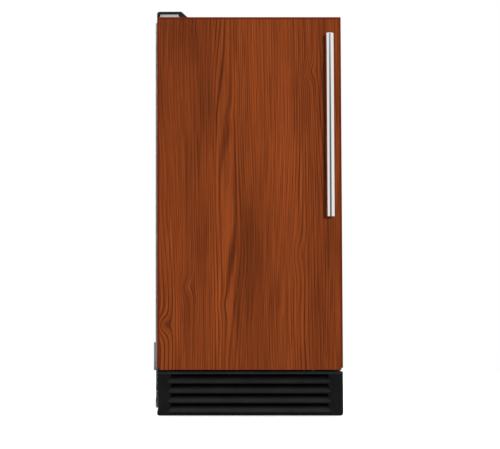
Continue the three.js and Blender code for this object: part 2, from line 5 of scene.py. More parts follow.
import bmesh
import bpy
import numpy as np
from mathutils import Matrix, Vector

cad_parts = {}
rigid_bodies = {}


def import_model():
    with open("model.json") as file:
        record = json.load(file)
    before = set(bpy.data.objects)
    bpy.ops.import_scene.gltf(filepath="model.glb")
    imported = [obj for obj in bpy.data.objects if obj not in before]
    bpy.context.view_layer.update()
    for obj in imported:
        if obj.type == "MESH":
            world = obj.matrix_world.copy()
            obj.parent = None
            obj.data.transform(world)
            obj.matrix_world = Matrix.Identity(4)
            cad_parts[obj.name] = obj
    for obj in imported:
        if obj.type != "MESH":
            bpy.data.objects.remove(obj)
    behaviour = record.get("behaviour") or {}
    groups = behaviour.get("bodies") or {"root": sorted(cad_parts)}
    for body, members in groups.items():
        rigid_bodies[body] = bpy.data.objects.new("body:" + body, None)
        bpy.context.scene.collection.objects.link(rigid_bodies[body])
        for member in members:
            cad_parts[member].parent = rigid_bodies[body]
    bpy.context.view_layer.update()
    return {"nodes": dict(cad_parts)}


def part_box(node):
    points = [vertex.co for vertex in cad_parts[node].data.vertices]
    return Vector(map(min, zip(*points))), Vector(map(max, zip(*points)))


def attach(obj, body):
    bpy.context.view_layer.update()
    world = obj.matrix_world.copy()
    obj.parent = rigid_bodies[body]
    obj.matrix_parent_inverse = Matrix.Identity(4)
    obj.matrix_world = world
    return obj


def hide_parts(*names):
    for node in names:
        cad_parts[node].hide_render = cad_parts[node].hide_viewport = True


for leftover in list(bpy.data.objects):
    bpy.data.objects.remove(leftover, do_unlink=True)
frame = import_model()

# ---- Studio ----
# A plain white room with broad soft lamps that polished metal doesn't mirror. It mirrors the room,
# which is pale all round and dark straight behind the camera.
studio = bpy.context.scene
studio.view_settings.view_transform = "Standard"
studio.world = bpy.data.worlds.new("studio_room")
studio.world.use_nodes = True


def add_node(tree, kind, inputs=None, **settings):
    """A node with its settings; each input is a plain value or another node's output."""
    made = tree.nodes.new(kind)
    for key, value in settings.items():
        setattr(made, key, value)
    for key, value in (inputs or {}).items():
        if isinstance(value, bpy.types.NodeSocket):
            tree.links.new(value, made.inputs[key])
        else:
            made.inputs[key].default_value = value
    return made


def sum_of(tree, operation, first, second=0.0, third=0.0, clamp=False):
    """The output of one Math node."""
    inputs = {0: first, 1: second, 2: third}
    return add_node(tree, "ShaderNodeMath", inputs, operation=operation, use_clamp=clamp).outputs[0]


def spread(tree, value, low, high, to_low=0.0, to_high=1.0):
    """Carries low..high smoothly to to_low..to_high, held at both ends."""
    inputs = {0: value, 1: low, 2: high, 3: to_low, 4: to_high}
    return add_node(tree, "ShaderNodeMapRange", inputs, interpolation_type="SMOOTHSTEP").outputs[0]


room = studio.world.node_tree
room.nodes.clear()
direction = add_node(room, "ShaderNodeTexCoord").outputs["Generated"]
toward = add_node(room, "ShaderNodeSeparateXYZ", {0: direction}).outputs
kind_of_ray = add_node(room, "ShaderNodeLightPath").outputs
diffuse_level = 0.03
mirrored = spread(room, toward[1], -0.985, -0.80, 0.11, 0.95)
above_diffuse = sum_of(room, "SUBTRACT", mirrored, diffuse_level)
fill = sum_of(room, "MULTIPLY_ADD", kind_of_ray["Is Glossy Ray"], above_diffuse, diffuse_level)
level = sum_of(room, "MAXIMUM", fill, kind_of_ray["Is Camera Ray"])
backdrop = add_node(room, "ShaderNodeBackground", {"Color": (1, 1, 1, 1), "Strength": level})
room.links.new(backdrop.outputs[0], add_node(room, "ShaderNodeOutputWorld").inputs[0])

# Each lamp: its place, the height on the object's middle line that it points at, its width and
# height in metres, and its watts.
lamps = {
    "lamp_front": ((0.53, -4.2, 0.62), 0.45, (0.6, 0.7), 122),
    "lamp_above": ((0.0, 0.1, 3.0), 0.0, (3.4, 3.4), 66),
    "lamp_left": ((-3.2, -0.5, 1.2), 0.4, (2.0, 2.0), 78),
    "lamp_right": ((3.2, 0.5, 1.2), 0.4, (2.0, 2.0), 58),
    "lamp_behind": ((0.3, 3.6, 1.3), 0.4, (2.4, 1.8), 66),
}
for name, (spot, aimed_at, size, power) in lamps.items():
    lamp = bpy.data.lights.new(name, "AREA")
    lamp.shape = "RECTANGLE"
    lamp.size, lamp.size_y = size
    lamp.energy = power
    holder = bpy.data.objects.new(name, lamp)
    studio.collection.objects.link(holder)
    holder.location = spot
    aim = holder.location.copy()
    aim.xyz = (0, 0, aimed_at)
    holder.rotation_euler = (aim - holder.location).to_track_quat("-Z", "Y").to_euler()
    holder.visible_glossy = False
    holder.visible_camera = False

lens = bpy.data.cameras.new("camera")
lens.sensor_width = 36.0
lens.lens = 106.75
lens.shift_x = 0.1834
lens.shift_y = 0.003
camera = bpy.data.objects.new("camera", lens)
studio.collection.objects.link(camera)
camera.location = (-0.185, -3.278, 0.219)
camera.rotation_euler = (math.radians(93.16), 0, 0)
studio.camera = camera

# ---- Floor ----
# A matt pale sheet under the object. It is bright to the eye, and is held back in the light that it
# throws up, so that it doesn't wash out the sides. All finishes start from the same two groups.


def node_group(name, inputs, outputs):
    """An empty shader group with named sockets, and its two end nodes."""
    group = bpy.data.node_groups.new(name, "ShaderNodeTree")
    for label, kind, value in inputs:
        socket = group.interface.new_socket(label, in_out="INPUT", socket_type=kind)
        socket.default_value = value
    for label, kind in outputs:
        group.interface.new_socket(label, in_out="OUTPUT", socket_type=kind)
    start = group.nodes.new("NodeGroupInput")
    end = group.nodes.new("NodeGroupOutput")
    return group, start.outputs, end.inputs


# Uneven finish: broad blotches move the colour and gloss, and a fine grain gives the height.
uneven_finish, given, made = node_group(
    "uneven_finish",
    [
        ("Tone", "NodeSocketColor", (0.5, 0.5, 0.5, 1)),
        ("Other Tone", "NodeSocketColor", (0.6, 0.6, 0.6, 1)),
        ("Stretch", "NodeSocketVector", (30, 30, 30)),
        ("Grain", "NodeSocketFloat", 12.0),
        ("Rough", "NodeSocketFloat", 0.5),
        ("Rough Spread", "NodeSocketFloat", 0.1),
    ],
    [("Color", "NodeSocketColor"), ("Roughness", "NodeSocketFloat"), ("Height", "NodeSocketFloat")],
)
tree = uneven_finish
where = add_node(tree, "ShaderNodeTexCoord").outputs["Object"]
drawn = add_node(tree, "ShaderNodeVectorMath", {0: where, 1: given["Stretch"]},
                 operation="MULTIPLY").outputs[0]
blotch = add_node(tree, "ShaderNodeTexNoise", {"Vector": drawn, "Scale": 1.0, "Detail": 4.0}).outputs[0]
grain = add_node(tree, "ShaderNodeTexNoise", {"Vector": drawn, "Scale": given["Grain"],
                                              "Detail": 2.0}).outputs[0]
mixed = add_node(tree, "ShaderNodeMix", {0: spread(tree, blotch, 0.34, 0.66)}, data_type="RGBA")
tree.links.new(given["Tone"], mixed.inputs[6])
tree.links.new(given["Other Tone"], mixed.inputs[7])
tree.links.new(mixed.outputs[2], made["Color"])
swing = sum_of(tree, "SUBTRACT", sum_of(tree, "ADD", blotch, grain), 1.0)
tree.links.new(sum_of(tree, "MULTIPLY_ADD", swing, given["Rough Spread"], given["Rough"]),
               made["Roughness"])
tree.links.new(sum_of(tree, "MULTIPLY_ADD", blotch, 0.35, grain), made["Height"])

# Settled dust: a thin pale film on faces that look up, thicker where the air leaves it alone.
settled_dust, given, made = node_group(
    "settled_dust",
    [("Amount", "NodeSocketFloat", 0.2)],
    [("Mask", "NodeSocketFloat")],
)
tree = settled_dust
facing = add_node(tree, "ShaderNodeNewGeometry").outputs["Normal"]
up = add_node(tree, "ShaderNodeSeparateXYZ", {0: facing}).outputs[2]
where = add_node(tree, "ShaderNodeTexCoord").outputs["Object"]
drift = add_node(tree, "ShaderNodeTexNoise", {"Vector": where, "Scale": 26.0, "Detail": 5.0}).outputs[0]
film = sum_of(tree, "MULTIPLY", spread(tree, up, 0.3, 0.95), spread(tree, drift, 0.3, 0.7, 0.35, 1.0))
tree.links.new(sum_of(tree, "MULTIPLY", film, given["Amount"]), made["Mask"])


def finish(name, tone, other, rough, spread_of=0.08, metal=0.0, stretch=(30, 30, 30), grain=12.0,
           bump=0.2, depth=0.0002, dust=0.0, **sockets):
    """A material whose colour, gloss and height come from the uneven finish, under a film of dust."""
    material = bpy.data.materials.new(name)
    material.use_nodes = True
    tree = material.node_tree
    shader = tree.nodes["Principled BSDF"]
    inputs = {
        "Tone": (*tone, 1),
        "Other Tone": (*other, 1),
        "Stretch": stretch,
        "Grain": grain,
        "Rough": rough,
        "Rough Spread": spread_of,
    }
    uneven = tree.nodes.new("ShaderNodeGroup")
    uneven.node_tree = uneven_finish
    for key, value in inputs.items():
        uneven.inputs[key].default_value = value
    colour, roughness = uneven.outputs["Color"], uneven.outputs["Roughness"]
    if dust:
        film = tree.nodes.new("ShaderNodeGroup")
        film.node_tree = settled_dust
        film.inputs["Amount"].default_value = dust
        dusty = add_node(tree, "ShaderNodeMix", {0: film.outputs[0], 7: (0.42, 0.40, 0.37, 1)},
                         data_type="RGBA")
        tree.links.new(colour, dusty.inputs[6])
        colour = dusty.outputs[2]
        roughness = sum_of(tree, "MULTIPLY_ADD", film.outputs[0], 0.4, roughness, clamp=True)
    tree.links.new(colour, shader.inputs["Base Color"])
    tree.links.new(roughness, shader.inputs["Roughness"])
    raised = {"Strength": bump, "Distance": depth, "Height": uneven.outputs["Height"]}
    tree.links.new(add_node(tree, "ShaderNodeBump", raised).outputs[0], shader.inputs["Normal"])
    shader.inputs["Metallic"].default_value = metal
    for key, value in sockets.items():
        shader.inputs[key.replace("_", " ")].default_value = value
    return material


def stand_up(u, v, w, axis):
    """Points from their two outline coordinates and their place along the axis."""
    order = {0: (w, u, v), 1: (u, w, v), 2: (u, v, w)}[axis]
    return np.stack(np.broadcast_arrays(*order), axis=-1)


def skin(grid, around=False, along=False, cap_first=False, cap_last=False):
    """Points and faces of a grid of points (rows, columns, 3): four neighbours make a face, the rows
    close on themselves if around, the columns if along, and the first or last row may be capped."""
    rows, columns = grid.shape[:2]
    row = np.arange(rows if along else rows - 1)[:, None]
    column = np.arange(columns if around else columns - 1)[None, :]
    next_row, next_column = (row + 1) % rows, (column + 1) % columns
    quads = np.stack(
        [row * columns + column, row * columns + next_column, next_row * columns + next_column,
         next_row * columns + column], axis=-1,
    ).reshape(-1, 4)
    ends = [list(range(columns))[::-1]] if cap_first else []
    if cap_last:
        ends.append(list(range((rows - 1) * columns, rows * columns)))
    return grid.reshape(-1, 3), quads, ends


floor_finish = finish("floor_finish", (0.94, 0.94, 0.94), (0.92, 0.92, 0.92), 0.8, stretch=(3, 3, 3),
                      bump=0.05)
tree = floor_finish.node_tree
shader = tree.nodes["Principled BSDF"]
shader.inputs["Specular IOR Level"].default_value = 0.1
pale = shader.inputs["Base Color"].links[0].from_socket
seen = add_node(tree, "ShaderNodeLightPath").outputs["Is Camera Ray"]
held_back = add_node(tree, "ShaderNodeMix", {0: seen, 6: (0.1, 0.1, 0.1, 1)}, data_type="RGBA")
tree.links.new(pale, held_back.inputs[7])
tree.links.new(held_back.outputs[2], shader.inputs["Base Color"])
shader.inputs["Emission Color"].default_value = (1, 1, 1, 1)
tree.links.new(sum_of(tree, "MULTIPLY", seen, 0.6), shader.inputs["Emission Strength"])
floor_radius, floor_drop, spokes = 2000, 0.4, 96
radius = np.linspace(0, floor_radius, 21)[:, None]
angle = np.arange(spokes) * 2 * math.pi / spokes
floor_grid = stand_up(radius * np.cos(angle), radius * np.sin(angle), -floor_drop, 2)
floor_points, floor_faces, floor_middle = skin(floor_grid[1:], around=True, cap_first=True)
floor_faces = floor_faces.tolist() + floor_middle
floor_mesh = bpy.data.meshes.new("floor")
floor_mesh.from_pydata((floor_points * 0.001).tolist(), [], floor_faces)
floor_mesh.materials.append(floor_finish)
floor = bpy.data.objects.new("floor", floor_mesh)
studio.collection.objects.link(floor)

# ---- Base pan ----
# A shallow galvanised tray, folded up at the front and the back, that carries the machinery. The
# legs screw up through four holes in it.
zinc = finish("galvanised_sheet", (0.47, 0.48, 0.49), (0.53, 0.54, 0.55), 0.42, 0.12, 0.9,
              stretch=(110, 110, 110), grain=3.0, bump=0.08, dust=0.1)


def keep_flats_flat(mesh, large=0.0004, bend=0.03):
    """Marks an edge sharp where a face over large square metres meets one turned from it by more
    than bend radians: |n1 + n2| = 2 cos(turn / 2)."""
    count = len(mesh.polygons)
    normals, areas, corners = np.empty(count * 3), np.empty(count), np.empty(count, int)
    mesh.polygons.foreach_get("normal", normals)
    mesh.polygons.foreach_get("area", areas)
    mesh.polygons.foreach_get("loop_total", corners)
    edge_of = np.empty(len(mesh.loops), int)
    mesh.loops.foreach_get("edge_index", edge_of)
    face_of = np.repeat(np.arange(count), corners)
    summed, largest = np.zeros((len(mesh.edges), 3)), np.zeros(len(mesh.edges))
    np.add.at(summed, edge_of, normals.reshape(-1, 3)[face_of])
    np.maximum.at(largest, edge_of, areas[face_of])
    turned_away = np.linalg.norm(summed, axis=1) < 2 * math.cos(bend / 2)
    sharp = np.empty(len(mesh.edges), bool)
    mesh.edges.foreach_get("use_edge_sharp", sharp)
    mesh.edges.foreach_set("use_edge_sharp", sharp | (turned_away & (largest > large)))


def settle(name, mesh, body, material, nodes, crease=35):
    """Shades the mesh smooth up to the crease angle, gives it its material, ties the object to its body and
    hides the nodes it stands for.
    """
    mesh.shade_smooth()
    mesh.set_sharp_from_angle(angle=math.radians(crease))
    keep_flats_flat(mesh)
    mesh.materials.clear()
    mesh.materials.append(material)
    made = bpy.data.objects.new(f"{name}_built" if name in frame["nodes"] else name, mesh)
    studio.collection.objects.link(made)
    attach(made, body)
    if nodes:
        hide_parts(*nodes)
    return made


def refined(node, body, material, ease=0.5, segments=2, crease=35):
    """A copy of a CAD node with its loose triangles merged, flat faces joined and every crease eased."""
    mesh = frame["nodes"][node].data.copy()
    mesh.name = node
    shape = bmesh.new()
    shape.from_mesh(mesh)
    bmesh.ops.remove_doubles(shape, verts=shape.verts, dist=1e-6)
    bmesh.ops.dissolve_limit(shape, angle_limit=math.radians(2), verts=shape.verts, edges=shape.edges)
    shape.to_mesh(mesh)
    shape.free()
    made = settle(node, mesh, body, material, [node], crease)
    eased = made.modifiers.new("eased_edges", "BEVEL")
    eased.width = ease * 0.001
    eased.segments = segments
    eased.limit_method = "ANGLE"
    eased.angle_limit = math.radians(35)
    eased.harden_normals = True
    return made


refined("base_pan", "cabinet", zinc, ease=0.6)

# ---- Levelling legs ----
# Turned and plated steel feet. Each has a hexagon for the spanner and a rolled thread that goes up
# into the pan, so that the cabinet can be levelled.
leg_plating = finish("leg_plating", (0.42, 0.43, 0.44), (0.5, 0.51, 0.52), 0.36, 0.15, 0.85,
                     stretch=(90, 90, 90), grain=5.0, bump=0.06, dust=0.1)


def box_of(node):
    """Lowest and highest corner of a CAD node, in millimetres."""
    low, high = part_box(node)
    return np.array(low) * 1000, np.array(high) * 1000


def turned(profile, centre, axis=2, segments=48, ring=False):
    """A profile of (radius, height) turned round an axis through the centre; ring joins its ends."""
    radius, height = np.array(profile, float).T[:, :, None]
    angle = np.arange(segments) * 2 * math.pi / segments
    u, v = radius * np.cos(angle), radius * np.sin(angle)
    return skin(stand_up(u, v, height, axis) + np.array(centre, float), around=True, along=ring)


def piece(name, parts, body, slot, material, *nodes, crease=35):
    """One object from several skins in millimetres: doubles merged, faces turned outwards, smooth
    except across creases. It rides on a body and stands for the CAD nodes named."""
    base, points, faces = 0, [], []
    for part_points, quads, ends in parts:
        points.append(part_points)
        faces.extend((quads + base).tolist())
        faces.extend([[index + base for index in end] for end in ends])
        base += len(part_points)
    mesh = bpy.data.meshes.new(name)
    mesh.from_pydata((np.concatenate(points) * 0.001).tolist(), [], faces)
    shape = bmesh.new()
    shape.from_mesh(mesh)
    bmesh.ops.remove_doubles(shape, verts=shape.verts, dist=1e-6)
    bmesh.ops.dissolve_degenerate(shape, dist=1e-6, edges=shape.edges)
    bmesh.ops.recalc_face_normals(shape, faces=shape.faces)
    shape.to_mesh(mesh)
    shape.free()
    return settle(name, mesh, body, material, nodes, crease)


def thread(radius, deep, pitch, start, end, centre, axis=2, segments=20):
    """A thread: the radius falls and rises by deep as the angle and the height go round together."""
    height = np.arange(start, end + 1e-6, pitch / 6)[:, None]
    angle = np.arange(segments) * 2 * math.pi / segments
    wave = radius - deep * (0.5 - 0.5 * np.cos(2 * math.pi * height / pitch - angle))
    grid = stand_up(wave * np.cos(angle), wave * np.sin(angle), height, axis)
    return skin(grid + np.array(centre, float), around=True, cap_first=True, cap_last=True)


foot_profile = [(0, 0), (14, 0), (14.8, 0.4), (15, 1.1), (15, 3.2), (14.5, 4.1), (11.2, 6.6), (9, 7.6),
                (6.5, 8.4), (0, 8.4)]
hexagon_profile = [(0, 8.2), (8.2, 8.2), (9, 8.8), (9, 11.9), (8.2, 12.5), (0, 12.5)]
for spot in ("front_left", "front_right", "rear_left", "rear_right"):
    low, high = box_of(f"leg_{spot}")
    centre = (*(low + high)[:2] / 2, low[2])
    foot = [turned(foot_profile, centre, segments=56), turned(hexagon_profile, centre, segments=6)]
    foot.append(thread(5.0, 0.55, 1.5, 12.2, high[2] - low[2], centre))
    piece(f"leg_{spot}", foot, f"leg_{spot}", "leg_steel", leg_plating, f"leg_{spot}", crease=40)

# ---- Compressor ----
# Two deep-drawn steel cups welded round the middle and painted black, on a pressed foot plate that
# stands on four ribbed rubber grommets. A clipped cover hides the start relay.
shell_paint = finish("compressor_paint", (0.012, 0.012, 0.013), (0.02, 0.02, 0.021), 0.36, 0.12,
                     stretch=(25, 25, 25), grain=16.0, bump=0.2, dust=0.22)
hose_black = finish("black_rubber", (0.012, 0.012, 0.012), (0.02, 0.02, 0.02), 0.6, 0.1,
                    stretch=(60, 60, 60), grain=8.0, bump=0.15, dust=0.12)


def round_loop(half_u, half_v, radius, steps=6):
    """Loop round a rectangle centred on zero: four quarter circles joined by straight sides."""
    turn = np.arange(4)[:, None] * math.pi / 2 + np.linspace(0, math.pi / 2, steps + 1)
    u = np.array([1, -1, -1, 1])[:, None] * (half_u - radius) + radius * np.cos(turn)
    v = np.array([1, 1, -1, -1])[:, None] * (half_v - radius) + radius * np.sin(turn)
    return np.stack([u.ravel(), v.ravel()], axis=-1)


def unit(vectors):
    """The vectors, each divided by its own length."""
    return vectors / np.linalg.norm(vectors, axis=1)[:, None]


def inset(loop, amount):
    """Each corner of an anticlockwise loop moved inwards, so that every side moves by the amount."""
    side = unit(np.roll(loop, -1, axis=0) - loop)
    normal = np.stack([-side[:, 1], side[:, 0]], axis=-1)
    before = np.roll(normal, 1, axis=0)
    blend = (normal + before) / (1 + np.sum(normal * before, axis=1))[:, None]
    return loop + blend * amount


def plate(loop, axis, low, high, edge=0.5, steps=3):
    """A flat piece with the loop as its outline and both edges rounded over a quarter circle."""
    turn = np.linspace(0, math.pi / 2, steps + 1)
    insets = edge * (1 - np.sin(turn))
    depths = edge * (1 - np.cos(turn))
    insets = np.concatenate([insets, insets[::-1]])
    along = np.concatenate([low + depths, high - depths[::-1]])
    rings = [stand_up(*inset(loop, amount).T, place, axis) for amount, place in zip(insets, along)]
    return skin(np.stack(rings), around=True, cap_first=True, cap_last=True)


def slab(low, high, axis, corner=2.0, edge=0.5, steps=3):
    """A plate with round corners that fills the box from low to high."""
    across = {0: (1, 2), 1: (0, 2), 2: (0, 1)}[axis]
    half = [(high[i] - low[i]) / 2 for i in across]
    middle = [(high[i] + low[i]) / 2 for i in across]
    loop = round_loop(*half, corner) + middle
    return plate(loop, axis, low[axis], high[axis], edge, steps)


dome_at = (92.0, 176.0, 0.0)
mount_spots = [(dome_at[0] + x, dome_at[1] + y, 0) for x in (-60, 60) for y in (-44, 44)]
cup_radius = 64.6
turn = np.linspace(0, math.pi / 2, 14)
lower_cup = [(cup_radius * math.sin(a) ** 0.55, 72 - 36 * math.cos(a) ** 0.6) for a in turn]
upper_cup = [(cup_radius * math.cos(a) ** 0.6, 108 + 57 * math.sin(a) ** 0.8) for a in turn]
weld = [(cup_radius, 98.6), (65.7, 99.4), (66, 101), (65.7, 102.6), (cup_radius, 103.4)]
shell_parts = [turned(lower_cup + weld + upper_cup, dome_at, segments=80)]
shell_parts.append(slab((22, 122, 30.0), (162, 230, 33.4), 2, corner=16, edge=1.2))
shell_parts.append(turned([(0, 33), (47, 33), (45, 37), (43, 40), (0, 40)], dome_at, segments=56))
bolt_head = [(0, 33), (5, 33), (5.4, 35), (3, 35.6), (0, 36)]
shell_parts += [turned(bolt_head, spot, segments=20) for spot in mount_spots]
shell_parts.append(turned([(0, 160), (5.4, 160), (5.4, 164.4), (4.8, 165), (0, 165)], dome_at, segments=24))
piece("compressor", shell_parts, "cabinet", "compressor_paint", shell_paint, "compressor")
grommet = [(0, 16.4), (8.6, 16.4), (9, 17), (9, 19), (7.2, 20.2), (9, 21.6), (9, 23), (7.2, 24.4),
           (8.8, 26), (8.8, 29.6), (0, 29.9)]
grommets = [turned(grommet, spot, segments=28) for spot in mount_spots]
piece("compressor_grommets", grommets, "cabinet", "hose_rubber", hose_black)
black = finish("black_moulding", (0.0075, 0.0075, 0.008), (0.010, 0.010, 0.0105), 0.46, 0.1,
               stretch=(40, 40, 40), grain=38.0, bump=0.35, depth=0.0001, dust=0.03)
low, high = box_of("compressor_cover")
cover_parts = [slab(low, high - (4.0, 0, 0), 0, corner=7, edge=3.0, steps=4)]
cover_parts.append(slab(low + (18, 0, 0), high, 0, corner=8, edge=0.8))
for rib_y in low[1] + 8 + 8 * np.arange(5):
    cover_parts.append(slab((low[0], rib_y, low[2] + 8), (low[0] + 2, rib_y + 2, high[2] - 8), 1, 0.9, 0.4))
piece("compressor_cover", cover_parts, "cabinet", "black_plastic", black, "compressor_cover")

# ---- Condenser ----
# Two rows of copper tube, expanded into thin waved aluminium fins. Galvanised end plates and flat
# top and bottom strips hold the pack together.
low, high = box_of("condenser")
copper = finish("copper_tube", (0.66, 0.30, 0.17), (0.45, 0.19, 0.10), 0.3, 0.16, 1.0,
                stretch=(45, 45, 45), grain=5.0, bump=0.06)
fin_metal = finish("fin_aluminium", (0.5, 0.51, 0.52), (0.4, 0.405, 0.41), 0.4, 0.12, 0.9,
                   stretch=(30, 30, 30), grain=10.0, bump=0.1, dust=0.15)


def fin(x, y0, y1, z0, z1, thick=0.3, wave=0.55, ripples=9):
    """A thin leaf whose section slides from side to side in a zigzag as it goes up."""
    z = np.linspace(z0, z1, 2 * ripples + 1)[:, None]
    shift = wave * np.cos(math.pi * np.arange(len(z)))[:, None]
    u = x + shift + np.array([-thick, thick, thick, -thick]) / 2
    v = np.array([y0, y0, y1, y1], float) + 0 * z
    return skin(np.stack([u, v, z + 0 * u], axis=-1), around=True, cap_first=True, cap_last=True)


fins = [fin(x, low[1] + 2, high[1] - 2, low[2] + 3, high[2] - 3)
        for x in np.arange(low[0] + 9, high[0] - 8, 2.9)]
piece("condenser_fins", fins, "cabinet", "aluminium", fin_metal, "condenser", crease=60)
case = [slab((x, low[1], low[2]), (x + 1.4, high[1], high[2]), 0, 1.0, 0.4)
        for x in (low[0] + 6, high[0] - 7.4)]
case += [slab((low[0] + 6, low[1] + 0.5, z), (high[0] - 6, high[1] - 0.5, z + 1.4), 2, 1.0, 0.4)
         for z in (low[2], high[2] - 1.4)]
piece("condenser_case", case, "cabinet", "galvanized", zinc, "condenser")


def to_and_fro(first, second, runs):
    """Pairs of run number and place: run 0 goes from first to second, run 1 comes back, and so on."""
    return [(run, end) for run in range(runs) for end in ((first, second), (second, first))[run % 2]]


def circle(radius, sides=20):
    """A round section."""
    angle = np.arange(sides) * 2 * math.pi / sides
    return np.stack([radius * np.cos(angle), radius * np.sin(angle)], axis=-1)


def route(corners, bend=14.0, steps=6):
    """Straight runs between corners, each corner eased by a quadratic curve over the bend length."""
    corners = np.array(corners, float)
    runs = np.diff(corners, axis=0)
    lengths = np.linalg.norm(runs, axis=1)
    ways = runs / lengths[:, None]
    ease = np.minimum(bend, 0.46 * np.minimum(lengths[:-1], lengths[1:]))[:, None]
    t = np.linspace(0, 1, steps + 1)[None, :, None]
    first, middle, last = corners[1:-1] - ways[:-1] * ease, corners[1:-1], corners[1:-1] + ways[1:] * ease
    eased = (1 - t) ** 2 * first[:, None] + 2 * t * (1 - t) * middle[:, None] + t ** 2 * last[:, None]
    return np.concatenate([corners[:1], eased.reshape(-1, 3), corners[-1:]])


def carried(section, path, closed=False, level=None):
    """A closed section carried along a path. Its frame turns as little as it can from station to
    station, or keeps one side level with a given direction."""
    ahead = np.roll(path, -1, axis=0) - path
    behind = path - np.roll(path, 1, axis=0)
    if not closed:
        ahead[-1], behind[0] = behind[-1], ahead[0]
    tangent = unit(unit(ahead) + unit(behind))
    if level is not None:
        binormal = np.broadcast_to(np.array(level, float), tangent.shape)
        normal = np.cross(binormal, tangent)
    else:
        normal = np.zeros_like(tangent)
        start = np.eye(3)[np.argmin(np.abs(tangent[0]))]
        for station, way in enumerate(tangent):
            start = start - way * start.dot(way)
            start = start / np.linalg.norm(start)
            normal[station] = start
        binormal = np.cross(tangent, normal)
    section = np.array(section, float)
    offsets = section[None, :, :1] * normal[:, None] + section[None, :, 1:] * binormal[:, None]
    return skin(path[:, None] + offsets, around=True, along=closed, cap_first=not closed,
                cap_last=not closed)


coils = []
for y in (low[1] + 10, high[1] - 10):
    turns = [(x, y, low[2] + 16 + 27.6 * run) for run, x in to_and_fro(low[0] + 3.4, high[0] - 3.4, 6)]
    coils.append(carried(circle(3.2, 16), route(turns, 12.5, 8)))
piece("condenser_tubes", coils, "cabinet", "copper", copper, "condenser", crease=60)

# ---- Fan ----
# A black shroud draws air through the condenser. The twisted blades are moulded with their hub; the
# ribbed motor hangs behind them on a cross of steel strips.
refined("fan_shroud", "cabinet", black, ease=0.9, segments=3)
fan_at = np.array([-60.0, -134.0, 112.0])


def fan_wing(turn_to, rows=14):
    """One blade: an oval section that grows wider and flatter as it goes out, twisted from 38 to 20
    degrees, bowed by a parabola and swept back a little."""
    s = np.linspace(0, 1, rows)[:, None]
    radius = 13 + 53.5 * s
    angle = np.arange(20) * 2 * math.pi / 20
    chord = (20 + 22 * s ** 0.8) * np.clip(1 - (np.clip(s - 0.86, 0, 1) / 0.15) ** 2 * 0.4, 0.3, 1)
    along = np.cos(angle) * chord / 2
    thick = np.sin(angle) * (1.5 - 0.5 * s)
    bow = 3.0 * (1 - np.cos(angle) ** 2)
    pitch = np.radians(38 - 18 * s)
    sideways = along * np.cos(pitch) - (thick + bow) * np.sin(pitch)
    axial = along * np.sin(pitch) + (thick + bow) * np.cos(pitch) - 7.0
    round_by = turn_to + 0.14 * s + sideways / radius
    grid = np.stack([radius * np.cos(round_by), axial, radius * np.sin(round_by)], axis=-1) + fan_at
    return skin(grid, around=True, cap_first=True, cap_last=True)


wings = [fan_wing(2 * math.pi * i / 5) for i in range(5)]
hub = [(0, -17), (9, -16.8), (14, -15.6), (16.6, -13), (17, -10), (17, 3.6), (16.4, 4), (0, 4)]
wings.append(turned(hub, fan_at, axis=1, segments=56))
piece("fan_blade", wings, "fan", "black_plastic", black, "fan_blade", crease=45)
motor_grey = finish("motor_casting", (0.3, 0.305, 0.31), (0.4, 0.405, 0.41), 0.42, 0.15, 0.8,
                    stretch=(45, 45, 45), grain=9.0, bump=0.25, dust=0.15)
body = [(0, -119), (11, -119), (12, -120), (24, -119.4), (27, -118), (28, -115)]
for y in np.arange(-112, -84, 5.0):
    body += [(28, y), (28, y + 2.2), (25.6, y + 2.9), (25.6, y + 4.4)]
body += [(28, -82.0), (28, -79), (26, -76.6), (23, -76), (0, -76)]
motor_at = fan_at * (1, 0, 1)
motor_parts = [turned(body, motor_at, axis=1, segments=64)]
motor_parts.append(slab((-146, -126.8, 107), (26, -124.8, 117), 1, 4.9, 0.6))
motor_parts.append(slab((-65, -124.8, 32), (-55, -122.8, 192), 1, 4.9, 0.6))
motor_parts.append(turned([(0, -127.4), (8, -127.4), (8.6, -126.6), (8.6, -119), (0, -119)], motor_at,
                          axis=1))
piece("fan_motor", motor_parts, "cabinet", "galvanized", motor_grey, "fan_motor")

# ---- Refrigerant lines ----
# Soft copper tube bent on the bench and brazed: hot gas to the condenser, liquid through the drier
# and its capillary to the plate, and the wider suction line back.
manifold_x, manifold_y, low_run, high_run = 32.6, -178, 40, 206
riser_x, riser_y = 110, 298
drier_x, drier_y = -40, 60
discharge = [(*dome_at[:2], 165.4), (*dome_at[:2], high_run), (dome_at[0], -130, high_run),
             (manifold_x + 20, manifold_y, high_run), (manifold_x + 20, manifold_y, 180),
             (manifold_x, manifold_y, 180)]
liquid = [(manifold_x, manifold_y, low_run), (manifold_x + 16, manifold_y, low_run),
          (manifold_x + 16, drier_y, low_run), (drier_x, drier_y, low_run), (drier_x, drier_y, 59.6)]
suction = [(104, 29, 687), (riser_x, 29, 674), (riser_x, riser_y, 674), (riser_x, riser_y, 140),
           (dome_at[0], 270, 108), (dome_at[0], 243, 108)]
lines = {"discharge_line": (3.5, discharge), "liquid_line": (3.0, liquid), "suction_line": (4.5, suction)}
for name, (radius, corners) in lines.items():
    tube = carried(circle(radius, 20), route(corners, 18, 8))
    piece(name, [tube], "cabinet", "copper", copper, name, crease=60)
drier = [(0, 0), (3.4, 0), (3.9, 1), (3.9, 5), (4.6, 8), (7.4, 11.5), (10, 13.4), (11, 16), (11, 26),
         (10.6, 27), (11, 28), (11, 78), (10.6, 79), (11, 80), (11, 90), (10, 92.8), (7, 95.5),
         (4.4, 99), (3.6, 102), (3.4, 106), (0, 106)]
capillary = [(drier_x, drier_y, 164), (drier_x, drier_y, 190), (drier_x, 262, 190), (86, 298, 190),
             (86, 298, 716), (86, 258, 716), (104, 222, 716)]
drier_parts = [turned(drier, (drier_x, drier_y, 60), segments=40),
               carried(circle(1.3, 10), route(capillary, 18, 6))]
